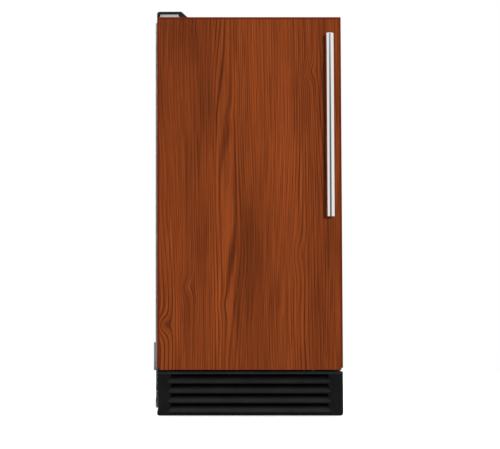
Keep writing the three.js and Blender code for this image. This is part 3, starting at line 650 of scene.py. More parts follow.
piece("filter_drier", drier_parts, "cabinet", "copper", copper, "filter_drier", crease=50)

# ---- Water valve and its line ----
# A moulded valve body with a threaded inlet and a wound coil on top. A clear vinyl tube runs from its
# barb up the back of the cabinet to the trough.
white_moulding = finish("white_moulding", (0.8, 0.81, 0.81), (0.76, 0.775, 0.78), 0.3, 0.06,
                        stretch=(14, 14, 14), grain=40.0, bump=0.1, depth=0.00015, Coat_Weight=0.1)
clear_vinyl = finish("clear_vinyl", (0.86, 0.9, 0.92), (0.8, 0.86, 0.89), 0.16, 0.06,
                     stretch=(40, 40, 40), grain=6.0, bump=0.05, Transmission_Weight=0.6, IOR=1.45)
valve_x, valve_y, valve_z = -140, 286, 70
valve = [slab((-158, 272, 58), (-122, 306, 82), 2, 6, 1.6, 4),
         slab((-156, 304, 57), (-124, 312, 84), 1, 4, 1.0)]
valve.append(turned([(0, 81), (9, 81), (9, 84.5), (0, 84.5)], (valve_x, valve_y, 0), segments=40))
valve.append(thread(9.5, 0.9, 2.0, 0, 3.9, (valve_x, 312, valve_z), axis=1, segments=40))
valve.append(turned([(0, 266.5), (3.8, 268), (3.8, 272), (0, 272)], (valve_x, 0, valve_z), axis=1,
                    segments=24))
piece("water_valve", valve, "cabinet", "white_plastic", white_moulding, "water_valve")
winding = [(0, 84.4), (12.4, 84.4), (13, 85), (13, 87), (11.6, 87.6), (11.6, 108.4), (13, 109),
           (13, 111), (12.4, 111.6), (3.2, 111.6), (3.2, 112), (0, 112)]
piece("water_valve_coil", [turned(winding, (valve_x, valve_y, 0), segments=48)], "cabinet",
      "hose_rubber", hose_black)
feed = [(-121.6, 280, valve_z), (-100, 280, valve_z), (-100, 280, 229), (72, 298, 229), (72, 298, 662),
        (72, 60, 662), (72, 40, 655)]
piece("water_line", [carried(circle(3.2, 16), route(feed, 18, 8))], "cabinet", "clear_plastic",
      clear_vinyl, "water_line", crease=60)

# ---- Drain hose ----
# A corrugated rubber hose from the strainer in the bin's floor, down and out through the back. Its
# last stretch is plain, for a clip.
drain_y, drain_z, drain_end = 200, 214, 316
drain_path = route([(0, drain_y, 269.5), (0, drain_y, drain_z), (0, drain_end, drain_z)], 22, 10)
lengths = np.concatenate([[0], np.cumsum(np.linalg.norm(np.diff(drain_path, axis=0), axis=1))])
step, corrugation, plain_end = 0.9, 5.4, 12
stations = np.arange(0, lengths[-1], step)
drain_path = np.stack([np.interp(stations, lengths, drain_path[:, i]) for i in range(3)], axis=-1)
drain_path = np.concatenate([drain_path, [(0, drain_end, drain_z)]])
sides = 28
points, quads, ends = carried(circle(1.0, sides), drain_path)
number = np.arange(len(drain_path))
wave = np.where(number < len(number) - plain_end, np.cos(number * step * 2 * math.pi / corrugation), 1.0)
swell = (7.55 + 0.45 * wave).repeat(sides)[:, None]
along_middle = drain_path.repeat(sides, axis=0)
points = along_middle + (points - along_middle) * swell
piece("drain_line", [(points, quads, ends)], "cabinet", "hose_rubber", hose_black, "drain_line", crease=60)

# ---- Cord gland ----
# A rubber bush pressed into a hole in the service panel, for a power cord to pass through. Its wide
# flange bears on the sheet from inside.
gland = [(5, 306.5), (5.5, 306), (13.2, 306), (14, 306.8), (14, 313.4), (13.4, 314.1), (11.2, 314.1),
         (10.9, 314.6), (10.9, 315.4), (10.4, 316), (5.8, 316), (5, 315.2)]
piece("cord_gland", [turned(gland, (150, 0, 60), axis=1, segments=56, ring=True)], "cabinet",
      "hose_rubber", hose_black, "cord_gland", crease=40)

# ---- Machine deck ----
# A flat galvanised shelf between the machinery and the insulated bin, with a slot at the back for
# the refrigerant lines and a hole for the drain.
refined("machine_deck", "cabinet", zinc, ease=0.6)

# ---- Insulation ----
# Rigid foam, poured in place. It fills the space between the bin liner and the outer sheets, and
# the door between its pan and its liner.
foam = finish("rigid_foam", (0.84, 0.74, 0.48), (0.78, 0.66, 0.4), 0.85, 0.1, stretch=(60, 60, 60),
              grain=9.0, bump=0.6, depth=0.0008)
for node in ("cabinet_insulation", "door_insulation"):
    for slot_of in frame["nodes"][node].material_slots:
        slot_of.material = foam

# ---- Bin liner ----
# One vacuum-formed tub with round corners, open to the front, with a strainer over the drain and a
# foam block round the lines that come through its back.
low, high = box_of("bin_liner")
wall, tub_round = 2.5, 16.0
outer_round = tub_round + wall
tub_middle = np.array([0.0, (low[2] + high[2]) / 2])
tub_half = np.array([high[0], (high[2] - low[2]) / 2])


def tub_ring(grow, y):
    """The ring round the tub's outline, grown outwards, at a depth y."""
    loop = round_loop(*(tub_half + grow), max(outer_round + grow, 0.5), 8) + tub_middle
    return stand_up(*loop.T, y, 1)


def round_foot(radius, start, back, turns):
    """Rings that draw in from start as a quarter circle brings them out to the back."""
    return [tub_ring(start - radius * (1 - math.cos(a)), back - radius * (1 - math.sin(a))) for a in turns]


turn = np.linspace(0, math.pi / 2, 9)
rings = round_foot(outer_round, 0, high[1], turn[::-1])
rings += [tub_ring(0, low[1]), tub_ring(-wall, low[1])]
rings += round_foot(tub_round, -wall, high[1] - wall, turn)
liner = skin(np.stack(rings), around=True, cap_first=True, cap_last=True)
piece("bin_liner", [liner], "cabinet", "white_liner", white_moulding, "bin_liner", crease=50)
strainer = [(0, 271.2), (3, 271.2), (3.4, 272.4), (5.4, 272.4), (5.8, 271.2), (7.6, 271.2), (8, 272.4),
            (10, 272.4), (10.4, 271.2), (12.4, 271.2), (12.8, 272.6), (15, 272.6), (16.4, 271.6),
            (16.8, 270.6), (0, 270.6)]
piece("drain_strainer", [turned(strainer, (0, drain_y, 0), segments=48)], "cabinet", "white_plastic",
      white_moulding)
port_block = slab((61, 262.5, 649), (121, 267.4, 733), 1, 8, 1.4)
piece("line_port_seal", [port_block], "cabinet", "foam", foam)

# ---- Freezing plate ----
# A stainless tray that leans forward, so that the slab slides off its front edge. The copper
# evaporator coil is soldered to its underside.
stainless = finish("brushed_stainless", (0.6, 0.605, 0.61), (0.68, 0.685, 0.69), 0.24, 0.1, 1.0,
                   stretch=(6, 260, 260), grain=3.0, bump=0.08, depth=0.0001)
refined("evaporator_plate", "cabinet", stainless, ease=0.6)
slope = math.radians(9)


def leaned(part, origin):
    """A skin turned down towards the front by the slope and moved to its origin."""
    points, quads, ends = part
    x, y, z = points.T
    back = y * math.cos(slope) - z * math.sin(slope)
    upward = y * math.sin(slope) + z * math.cos(slope)
    return np.stack([x, back, upward], axis=-1) + np.array(origin, float), quads, ends


plate_front = (0, 10, 690)
coil_drop, coil_end = -4.9, 98
turns = [(x, 200 - 36 * run, coil_drop) for run, x in to_and_fro(92, -92, 6)]
turns[0], turns[-1] = (coil_end, 200, coil_drop), (coil_end, 20, coil_drop)
coil = leaned(carried(circle(4.4, 20), route(turns, 16.5, 10)), plate_front)
piece("evaporator_coil", [coil], "cabinet", "copper", copper, "evaporator_coil", crease=60)

# ---- Water distributor, reservoir, pump and hose ----
# White moulded trough and tube. A small black pump lifts the water through a clear hose to the
# tube, whose nozzles wet the plate along its top edge.
tube = [(0, -112), (7.2, -112), (8, -111), (8, -106), (7.3, -105), (7.3, 106), (8, 107), (8, 112),
        (7.2, 113), (4.5, 113), (4.5, 114), (4.0, 115.2), (4.5, 116), (4.0, 117.2), (3.6, 118),
        (0, 118)]
tube_y, tube_z = 236, 754
distributor = [turned(tube, (0, tube_y, tube_z), axis=0, segments=48)]
nozzle = [(0, 741), (1.3, 741), (1.6, 741.4), (2.2, 746), (3.4, 748.4), (0, 748.4)]
distributor += [turned(nozzle, (x, tube_y, 0), segments=16) for x in range(-99, 100, 22)]
piece("water_distributor", distributor, "cabinet", "white_plastic", white_moulding, "water_distributor")
low, high = box_of("water_reservoir")
middle = (low + high) / 2
half = (high - low) / 2
profile = [(7.0, low[2]), (4.4, low[2] + 0.6), (2.6, low[2] + 2.4), (1.6, low[2] + 6),
           (1.0, high[2] - 4), (0.0, high[2] - 3.4), (0.0, high[2]), (2.6, high[2]), (3.4, high[2] - 2),
           (4.0, low[2] + 7), (4.8, low[2] + 4.4), (7.4, low[2] + 2.8), (9.4, low[2] + 2.5)]
rings = []
for inward, z in profile:
    loop = round_loop(*(half[:2] - inward), 10 - inward * 0.6) + middle[:2]
    rings.append(stand_up(*loop.T, z, 2))
trough = skin(np.stack(rings), around=True, cap_first=True, cap_last=True)
piece("water_reservoir", [trough], "cabinet", "white_plastic", white_moulding, "water_reservoir", crease=45)
pump = [(0, 593), (11.8, 593), (13, 594), (13, 605), (12.4, 606), (7, 608.4), (6, 610), (6, 648),
        (7, 650.4), (13.4, 652.6), (14.5, 654)]
for z in np.arange(657, 686, 4.0):
    pump += [(14.5, z), (13.6, z + 0.7), (13.6, z + 1.7), (14.5, z + 2.4)]
pump += [(14.5, 692), (13.8, 694), (11, 695), (11, 697.4), (10.4, 698), (0, 698)]
pump_x, pump_y, outlet_z = 139, 29, 668
outlet = [(0, pump_y), (4.2, pump_y), (4.2, 50), (0, 50)]
pump_parts = [turned(pump, (pump_x, pump_y, 0), segments=48), turned(outlet, (pump_x, 0, outlet_z), 1, 24)]
piece("circulation_pump", pump_parts, "cabinet", "black_plastic", black, "circulation_pump")
lift = [(pump_x, 44, outlet_z), (pump_x, tube_y, outlet_z), (pump_x, tube_y, tube_z),
        (118.5, tube_y, tube_z)]
hose = carried(circle(5.0, 24), route(lift, 20, 10))
piece("pump_hose", [hose], "cabinet", "clear_plastic", clear_vinyl, "pump_hose", crease=60)

# ---- Cutter grid and its cover ----
# Low-voltage resistance wires are strung both ways across a white frame and melt the slab into
# cubes. A black cover hangs in front, on a stainless module frame.
grid_rear = (0, -8, 664)
grid_half, grid_long, deep = 118.0, 176.0, 22.0
grid_middle = np.array([0.0, -grid_long / 2])
bar = 9.0
bar_profile = [(0.8, -deep), (0.0, -deep + 0.8), (0.0, -0.8), (0.8, 0.0), (bar - 0.8, 0.0), (bar, -0.8),
               (bar, -deep + 0.8), (bar - 0.8, -deep)]
rings = []
for inward, z in bar_profile:
    corner = max(5 - inward * 0.4, 1.0)
    loop = round_loop(grid_half - inward, grid_long / 2 - inward, corner, 4) + grid_middle
    rings.append(stand_up(*loop.T, z, 2))
grid_frame = skin(np.stack(rings), around=True, along=True)


def rods(starts, ends, radius, sides=8):
    """Straight round rods between matching points, all in one skin: each has a ring at both ends."""
    way = unit(ends - starts)
    first = unit(np.cross(way, (0.0, 0.0, 1.0)))
    second = np.cross(way, first)
    angle = np.arange(sides) * 2 * math.pi / sides
    ring = radius * (first[:, None] * np.cos(angle)[:, None] + second[:, None] * np.sin(angle)[:, None])
    grid = np.stack([starts[:, None] + ring, ends[:, None] + ring], axis=1)
    base = np.arange(len(starts))[:, None] * 2 * sides
    side = np.arange(sides)
    after = (side + 1) % sides
    quads = np.stack([base + side, base + after, base + sides + after, base + sides + side], axis=-1)
    caps = np.concatenate([base + side[::-1], base + sides + side]).tolist()
    return grid.reshape(-1, 3), quads.reshape(-1, 4), caps


wire, cube = 0.9, 22.0
x = np.arange(-88, 89, cube)
along_y = rods(stand_up(x, 2 - grid_long, -6, 2), stand_up(x, -2, -6, 2), wire)
y = -np.arange(cube, grid_long - bar, cube)
along_x = rods(stand_up(2 - grid_half, y, -16, 2), stand_up(grid_half - 2, y, -16, 2), wire)
piece("cutter_grid", [leaned(grid_frame, grid_rear)], "cabinet", "white_plastic", white_moulding,
      "cutter_grid")
piece("cutter_wires", [leaned(along_y, grid_rear), leaned(along_x, grid_rear)], "cabinet", "stainless",
      stainless, "cutter_grid")
refined("grid_cover", "cabinet", black, ease=0.8, segments=3)
refined("module_frame", "cabinet", stainless, ease=0.7)

# ---- Controls and light ----
# A black housing across the top of the opening holds the power rocker, the clean button in its
# bezel, three small signal lenses and, on its underside, a ribbed light window.
refined("control_housing", "cabinet", black, ease=1.1, segments=3)
switch_rubber = finish("switch_rubber", (0.06, 0.06, 0.065), (0.08, 0.08, 0.085), 0.55, 0.1,
                       stretch=(120, 120, 120), grain=6.0, bump=0.2)
low, high = box_of("power_rocker")
t = np.linspace(0, 1, 9)
face_y = low[1] + 1.5 * 4 * t * (1 - t)
face_z = high[2] - 14 * t
paddle = np.concatenate([np.stack([face_y, face_z], -1), [(high[1], 746), (high[1], 754)]])
rocker_parts = [plate(paddle, 0, low[0], high[0], edge=0.8, steps=3)]
piece("power_rocker", rocker_parts, "rocker", "control_rubber", switch_rubber, "power_rocker", crease=45)
low, high = box_of("clean_button")
middle = (low + high) / 2
cap = [(0, low[1] + 0.5), (2.6, low[1] + 0.4), (4.2, low[1]), (5.2, low[1] + 0.2), (5.8, low[1] + 0.8),
       (6, low[1] + 1.6), (6, high[1]), (0, high[1])]
button = [turned(cap, (middle[0], 0, middle[2]), axis=1, segments=48)]
piece("clean_button", button, "button", "control_rubber", switch_rubber, "clean_button", crease=40)
signal = finish("signal_lens", (0.05, 0.32, 0.10), (0.04, 0.24, 0.08), 0.2, 0.05, stretch=(90, 90, 90),
                bump=0.05, Coat_Weight=0.4)
front = box_of("control_housing")[0][1]
lens_profile = [(0, front - 0.6), (1.1, front - 0.5), (1.9, front - 0.1), (2.1, front + 0.6),
                (0, front + 0.6)]
piece("signal_lenses", [turned(lens_profile, (x, 0, 750), axis=1, segments=24) for x in (34, 46, 58)],
      "cabinet", "clear_plastic", signal)
bezel = [(8.2, front - 0.9), (9.4, front - 0.7), (9.9, front + 0.3), (7.0, front + 0.3), (7.2, front - 0.4)]
piece("button_bezel", [turned(bezel, (middle[0], 0, middle[2]), axis=1, segments=48, ring=True)],
      "cabinet", "black_plastic", black)
low, high = box_of("light_lens")
u = np.linspace(low[0] + 1, high[0] - 1, 97)
wavy = low[2] + 0.4 + 0.5 * np.cos(u * 2 * math.pi / 2.9)
y = np.array([low[1] + 0.6, (low[1] + high[1]) / 2, high[1] - 0.6])
under = np.stack(np.broadcast_arrays(u[None, :], y[:, None], wavy[None, :]), -1)
window = [skin(under), slab(low + (0, 0, 1.1), high, 2, 3, 0.6)]
rim = np.concatenate([under[0], under[1:, -1], under[-1, -2::-1], under[-2:0:-1, 0]])
top_rim = rim * (1, 1, 0) + (0, 0, high[2] - 1.2)
window.append(skin(np.stack([rim, top_rim]), around=True, cap_last=True))
lens_clear = finish("light_window", (0.88, 0.9, 0.9), (0.84, 0.86, 0.87), 0.22, 0.06,
                    stretch=(60, 60, 60), bump=0.05, Transmission_Weight=0.5, IOR=1.49)
piece("light_lens", window, "cabinet", "clear_plastic", lens_clear, "light_lens", crease=50)

# ---- Bin sensor ----
# A thermostat bulb in a bright metal tube, held by a flange on the bin's side wall. It stops the
# machine when the ice reaches it.
bulb = [(0, -157.2), (12.4, -157.2), (13, -156.8), (13, -154.6), (12.4, -154), (6.4, -154), (5.4, -153),
        (5, -151), (5, -103), (4.7, -99.5), (3.6, -97), (1.8, -96.1), (0, -96)]
piece("bin_sensor", [turned(bulb, (0, 120, 572), axis=0, segments=40)], "cabinet", "stainless",
      stainless, "bin_sensor")

# ---- Ice scoop and its hook ----
# A clear moulded scoop with a hollow bowl and a flat grip. It hangs by the eye in its grip on a
# white moulded peg on the bin's side wall.
clear_moulding = finish("clear_moulding", (0.82, 0.87, 0.9), (0.78, 0.84, 0.88), 0.12, 0.05,
                        stretch=(50, 50, 50), bump=0.05, Transmission_Weight=0.55, IOR=1.5)
low, high = box_of("ice_scoop")
mid_y, lip_x, bowl_top, dome_tall, shell = (low[1] + high[1]) / 2, high[0], 430.0, 22, 2.2
angle = np.linspace(-math.pi / 2, math.pi / 2, 41)


def bowl_skin(thinner):
    """Half a rounded tub: a squared-off half ellipse in plan, closed at the top by a squared dome."""
    spring = bowl_top - thinner - dome_tall
    dome = spring + dome_tall * np.sin(np.linspace(0.12, math.pi / 2, 12))
    z = np.concatenate([np.linspace(low[2], spring, 10), dome])
    rise = np.clip((z - spring) / dome_tall, 0, 1)
    scale = (1 - rise ** 2.4) ** (1 / 2.4)
    v = mid_y + (38 - thinner) * scale[:, None] * np.sign(np.sin(angle)) * np.abs(np.sin(angle)) ** 0.55
    u = lip_x - (40 - thinner) * scale[:, None] * np.abs(np.cos(angle)) ** 0.5
    return np.stack([u, v, z[:, None] + 0 * u], axis=-1)


outside, inside = bowl_skin(0.0), bowl_skin(shell)
edges = [np.concatenate([g[:, 0], g[-1, 1:-1], g[::-1, -1], g[0, -2:0:-1]]) for g in (outside, inside)]
scoop_parts = [skin(outside), skin(inside), skin(np.stack(edges), around=True)]
grip_loop = round_loop(11, 56, 9, 10) + [mid_y, 484]
eye_height, eye_radius = 512, 9
bearing = np.arctan2(grip_loop[:, 1] - eye_height, grip_loop[:, 0] - mid_y)
eye_loop = np.stack([mid_y + eye_radius * np.cos(bearing), eye_height + eye_radius * np.sin(bearing)], -1)
grip_rings = []
grip_section = [(1.4, 124.0), (0.4, 124.4), (0.0, 125.6), (0.0, 138.4), (0.4, 139.6), (1.4, 140.0)]
for inward, x in grip_section:
    grip_rings.append(stand_up(*inset(grip_loop, inward * 0.8).T, x, 0))
grip_rings.append(stand_up(*eye_loop.T, 140.0, 0))
grip_rings.append(stand_up(*eye_loop.T, 124.0, 0))
scoop_parts.append(skin(np.stack(grip_rings), around=True, along=True))
piece("ice_scoop", scoop_parts, "scoop", "clear_plastic", clear_moulding, "ice_scoop", crease=50)
refined("scoop_hook", "cabinet", white_moulding, ease=0.8, segments=3)

# ---- Cabinet shell ----
# Painted steel side and top sheets, folded from one coil and screwed to the pan and the front frame.
# The back is bare galvanised steel with pressed grooves that stop it drumming.
enamel = finish("cabinet_enamel", (0.71, 0.715, 0.72), (0.69, 0.695, 0.705), 0.34, stretch=(9, 9, 9),
                grain=90.0, bump=0.12, depth=0.0002, dust=0.12, Coat_Weight=0.25, Coat_Roughness=0.2)


def screws(spots, axis, way, radius=3.6):
    """Pan-head screws with a small round recess, one at each spot, looking along way * axis."""
    profile = radius * np.array([(0, 0.18), (0.3, 0.18), (0.36, 0.62), (0.7, 0.55), (0.95, 0.3), (1, 0),
                                 (0.9, -0.12)])
    profile = profile * (1, way)
    return [turned(profile, spot, axis, 12) for spot in spots]


for side in ("left", "right"):
    low, high = box_of(f"side_panel_{side}")
    out = 1 if side == "right" else -1
    sheet = slab(low, high, 0, corner=1.2, edge=min(1.6, (high[0] - low[0]) * 0.45))
    piece(f"side_panel_{side}", [sheet], "cabinet", "cabinet_steel", enamel, f"side_panel_{side}")
    x = (low[0] if side == "right" else high[0]) - out * 0.3
    rows = [(x, y, z) for y in (low[1] + 12, high[1] - 12) for z in (30, 220, 420, 620, 795)]
    piece(f"side_rivets_{side}", screws(rows, 0, -out, 2.6), "cabinet", "cabinet_steel", enamel)
low, high = box_of("top_panel")
piece("top_panel", [slab(low, high, 2, corner=1.2, edge=0.55)], "cabinet", "cabinet_steel", enamel,
      "top_panel")


def pressed_sheet(node, grooves, depth, width, columns, rows):
    """A sheet with grooves pressed in from its outer face. Each groove is a line between two points,
    and the face sinks by a cosine bell of its distance from the nearest line. The inner face is flat."""
    low, high = box_of(node)
    x, z = np.meshgrid(np.linspace(low[0], high[0], columns), np.linspace(low[2], high[2], rows))
    sink = np.zeros_like(x)
    for x0, z0, x1, z1 in grooves:
        run = np.array([x1 - x0, z1 - z0], float)
        share = np.clip(((x - x0) * run[0] + (z - z0) * run[1]) / run.dot(run), 0, 1)
        away = np.hypot(x - x0 - share * run[0], z - z0 - share * run[1])
        sink = np.maximum(sink, depth * (0.5 + 0.5 * np.cos(math.pi * np.clip(away / width, 0, 1))))
    outer = np.stack([x, high[1] - sink, z], axis=-1)
    inner = np.stack([x, 0 * x + low[1], z], axis=-1)
    rim = [np.concatenate([g[0], g[1:, -1], g[-1, -2::-1], g[-2:0:-1, 0]]) for g in (outer, inner)]
    return [skin(outer), skin(inner), skin(np.stack(rim), around=True)]


ribs = [(-150, z, 150, z) for z in (290, 400, 510, 620, 730)]
rear = pressed_sheet("rear_panel", ribs, 0.9, 9.0, 90, 190)
piece("rear_panel", rear, "cabinet", "galvanized", zinc, "rear_panel", crease=50)
rear_y = box_of("rear_panel")[1][1]
spots = [(x, rear_y - 2.2, z) for x in (-182, 182) for z in (250, 520, 795)]
spots += [(x, rear_y - 2.2, z) for x in (-182, 182) for z in (40, 222)]
piece("rear_screws", screws(spots, 1, 1), "cabinet", "galvanized", zinc)
refined("service_panel", "cabinet", zinc, ease=0.45)

# ---- Front frame ----
# The white moulded face round the bin opening, with a rolled lip into the bin. The door's magnetic
# gasket closes on it.
low, high = box_of("front_frame")
mouth_middle = np.array([0.0, 520.0])
mouth_half = np.array([157.5, 249.5])
mouth_round = 16.0
outer_loop = round_loop((high[0] - low[0]) / 2, (high[2] - low[2]) / 2, 1.5) + [0, (high[2] + low[2]) / 2]
turn = np.linspace(0, math.pi / 2, 6)


def mouth_loop(grow):
    """The mouth's rounded outline, grown outwards."""
    return round_loop(*(mouth_half + grow), mouth_round + grow) + mouth_middle


front, back, lip = low[1], high[1], 3.0
rings = [stand_up(*inset(outer_loop, 1.0).T, back, 1), stand_up(*outer_loop.T, back - 1, 1)]
rings += [stand_up(*outer_loop.T, front + 1, 1), stand_up(*inset(outer_loop, 1.0).T, front, 1)]
rings += [stand_up(*mouth_loop(lip * (1 - math.sin(a))).T, front + lip * (1 - math.cos(a)), 1)
          for a in turn]
rings += [stand_up(*mouth_loop(0).T, back, 1)]
piece("front_frame", [skin(np.stack(rings), around=True, along=True)], "cabinet", "white_liner",
      white_moulding, "front_frame")

# ---- Toe grille ----
# One black moulding: a shallow tray whose face has four long slots. A rounded blade rises from the foot of
# each slot and rolls back. Behind them a near-black backing sheet closes the view; it is painted shade that
# stands in for the dark inside of the grille.
low, high = box_of("toe_grille")
grille_half, grille_front, grille_back = high[0], low[1], high[1]
grille_wall, grille_round, slot_tall, slot_pitch, first_top = 3.0, 6.0, 14.7, 19.7, 84.0
slot_tops = first_top - slot_pitch * np.arange(4)
levels = [high[2]] + [slot_tops[i + 1] + (slot_pitch - slot_tall) / 2 for i in range(3)] + [low[2] - 1.9]


def four_sided(half_low, half_top, z0, z1, radius_low, radius_top, across=24, upward=6, bow=4):
    """Loop round a shape with straight sides, split into a set number of points for each side and
    corner, so that neighbouring loops match point for point."""
    corners = np.array([(-half_low, z0), (half_low, z0), (half_top, z1), (-half_top, z1)], float)
    radii = np.array([radius_low, radius_low, radius_top, radius_top], float)
    ways = unit(np.roll(corners, -1, axis=0) - corners)
    enter = corners - np.roll(ways, 1, axis=0) * radii[:, None]
    leave = corners + ways * radii[:, None]
    t = np.linspace(0, 1, bow + 1)[:, None]
    sections = []
    for i in range(4):
        sections.append((1 - t) ** 2 * enter[i] + 2 * t * (1 - t) * corners[i] + t ** 2 * leave[i])
        count = across if i % 2 == 0 else upward
        share = np.linspace(0, 1, count + 2)[1:-1, None]
        sections.append(leave[i] + share * (enter[(i + 1) % 4] - leave[i]))
    return sections


def band(i, less):
    """The outer loop of slot i's strip of the face, its outside edges moved in by less."""
    half = grille_half - less
    z1 = levels[i] - (less if i == 0 else 0)
    z0 = levels[i + 1] + (less if i == 3 else 0)
    low_round = max(grille_round - less, 0.5) if i == 3 else 0.0
    return four_sided(half, half, z0, z1, low_round, 0.0)


def round_face(less):
    """The loop round the whole face, made from the outside stretches of its four strips."""
    strips = [band(i, less) for i in (3, 2, 1, 0)]
    up = [strips[0][0], strips[0][1], strips[0][2]] + [part for s in strips for part in (s[3], s[4][:1])]
    down = [strips[3][5], strips[3][6]] + [part for s in strips[::-1] for part in (s[7], s[0][:1])]
    return np.concatenate(up + down[:-1])


edge = 2.6
turn = np.linspace(0, math.pi / 2, 5)
parts = []
for i in range(4):
    top = slot_tops[i]
    hole = [four_sided(164.0 + g, 158.5 + g, top - slot_tall - g, top + g, 1.2 + g, 1.2 + g) for g in
            list(0.9 * (1 - np.sin(turn))) + [0.0]]
    depths = list(grille_front + 0.9 * (1 - np.cos(turn))) + [grille_front + grille_wall]
    rings = [stand_up(*np.concatenate(band(i, edge)).T, grille_front, 1)]
    rings += [stand_up(*np.concatenate(h).T, d, 1) for h, d in zip(hole, depths)]
    rings += [stand_up(*np.concatenate(band(i, grille_wall)).T, grille_front + grille_wall, 1)]
    parts.append(skin(np.stack(rings), around=True))
rings = [stand_up(*round_face(edge * (1 - math.sin(a))).T, grille_front + edge * (1 - math.cos(a)), 1)
         for a in turn]
rings += [stand_up(*round_face(0.0).T, grille_back, 1),
          stand_up(*round_face(grille_wall).T, grille_back, 1)]
rings += [stand_up(*round_face(grille_wall).T, grille_front + grille_wall, 1)]
parts.append(skin(np.stack(rings), around=True))
t = np.linspace(0, 1, 13)[:, None]
for top in slot_tops:
    foot = top - slot_tall
    start, bend_at, end = np.array([(grille_front + 0.6, foot + 0.5), (grille_front + 2.6, foot + 10.5),
                                    (grille_front + 15.0, foot + 13.4)])
    outer = (1 - t) ** 2 * start + 2 * t * (1 - t) * bend_at + t ** 2 * end
    thick = np.array([(0.9, -1.6)])
    blade = np.concatenate([outer, (outer + thick)[::-1]])
    x = np.linspace(-164.5, 164.5, 12)[:, None]
    rings = stand_up(blade[None, :, 0], blade[None, :, 1], x, 0)
    parts.append(skin(rings, around=True, cap_first=True, cap_last=True))
for x in (-80, 80):
    parts.append(slab((x - 1, grille_front + 15.4, 6), (x + 1, grille_front + 20, 87), 0, 1.0, 0.3))

# The left end is cut back, more so towards the floor, so that the moulding clears the cabinet's side.
for points, _, _ in parts:
    outboard = np.clip((-170 - points[:, 0]) / 20, 0, 1)
    points[:, 0] += outboard * np.interp(points[:, 2], (3, 14, 90), (2.0, 4.8, 2.6))

# Painted light: the louvres' colour is painted palest at the front lips, a painted highlight, and darker as
# they run back into the slot, painted shade: (place down one slot and lip, share of the plain colour).
louvred = finish("grille_moulding_painted_light", (0.0062, 0.0062, 0.0064), (0.0082, 0.0082, 0.0084), 0.52, 0.1,
                 stretch=(40, 40, 40), grain=14.0, bump=0.3, depth=0.0002)
tree = louvred.node_tree
shader = tree.nodes["Principled BSDF"]
shader.inputs["Specular IOR Level"].default_value = 0.2
plain = shader.inputs["Base Color"].links[0].from_socket
where = add_node(tree, "ShaderNodeTexCoord").outputs["Object"]
sideways, _, upward = add_node(tree, "ShaderNodeSeparateXYZ", {0: where}).outputs
from_top = sum_of(tree, "SUBTRACT", float(first_top * 0.001), upward)
down_slot = sum_of(tree, "FRACT", sum_of(tree, "MULTIPLY_ADD", from_top, float(1000 / slot_pitch), 1.0))
painted_light_down_slot = [(0.0, 0.05), (0.12, 0.2), (0.3, 0.75), (0.5, 1.5), (0.68, 2.5), (0.80, 2.5), (0.90, 0.6),
        (1.0, 0.05)]
brightest = max(share for _, share in painted_light_down_slot)
ramp = add_node(tree, "ShaderNodeValToRGB", {0: down_slot})
for index, (place, share) in enumerate(painted_light_down_slot):
    stop = ramp.color_ramp.elements[index] if index < 2 else ramp.color_ramp.elements.new(place)
    stop.position = place
    stop.color = (*[share / brightest] * 3, 1)
# Painted shade and highlight down each slot, in place of real light falling into the louvres.
share = sum_of(tree, "MULTIPLY", ramp.outputs[0], brightest)
slot_half = spread(tree, down_slot, 0.0, 0.75, 0.1585, 0.1645)
past_end = sum_of(tree, "SUBTRACT", sum_of(tree, "ABSOLUTE", sideways), slot_half)
in_slots = spread(tree, past_end, -0.0004, 0.0006, 1.0, 0.0)
in_slots = sum_of(tree, "MULTIPLY", in_slots, spread(tree, upward, 0.0045, 0.0052))
in_slots = sum_of(tree, "MULTIPLY", in_slots, spread(tree, upward, 0.0885, 0.0893, 1.0, 0.0))
level = sum_of(tree, "MULTIPLY_ADD", in_slots, sum_of(tree, "SUBTRACT", share, 1.0), 1.0)
# Painted highlight: the top rim of the grille's face is coloured brighter than the rest of the frame.
top_rim = spread(tree, upward, 0.0846, 0.0852)
level = sum_of(tree, "MULTIPLY_ADD", top_rim, sum_of(tree, "SUBTRACT", 3.2, level), level)
colour_with_painted_light = add_node(tree, "ShaderNodeVectorMath", {0: plain, "Scale": level}, operation="SCALE").outputs[0]
tree.links.new(colour_with_painted_light, shader.inputs["Base Color"])
piece("toe_grille", parts, "cabinet", "black_plastic", louvred, "toe_grille", crease=40)
# Painted shade: a near-black sheet behind the blades stands in for the shade inside the grille.
shade_backing = [slab((-167, grille_back - 1.4, 5), (167, grille_back - 0.2, 87), 1, 2.0, 0.4)]
matt_black = finish("shade_backing", (0.0012, 0.0012, 0.0012), (0.002, 0.002, 0.002), 0.95, 0.02,
                    stretch=(300, 300, 300), grain=4.0, bump=0.5, depth=0.0004, Specular_IOR_Level=0.05)
piece("grille_shade_backing", shade_backing, "cabinet", "black_plastic", matt_black, "toe_grille")

# ---- Hinges ----
# Plated steel brackets and two turned pins. A clipped black cap hides the upper bracket's plate and
# leaves its turned-up lip in view.
plated = finish("plated_steel", (0.6, 0.63, 0.66), (0.68, 0.7, 0.72), 0.36, 0.1, 0.35,
                stretch=(50, 50, 50), grain=9.0, bump=0.06)
refined("hinge_bracket_top", "cabinet", plated, ease=0.6)

# Painted shade: the lower bracket's arm is coloured near black where it passes under the door, in place of
# the shade in the gap between the door and the grille.
plated_with_painted_shade = plated.copy()
plated_with_painted_shade.name = "plated_steel_with_painted_shade"
tree = plated_with_painted_shade.node_tree
shader = tree.nodes["Principled BSDF"]
bare = shader.inputs["Base Color"].links[0].from_socket
where = add_node(tree, "ShaderNodeTexCoord").outputs["Object"]
sideways = add_node(tree, "ShaderNodeSeparateXYZ", {0: where}).outputs[0]
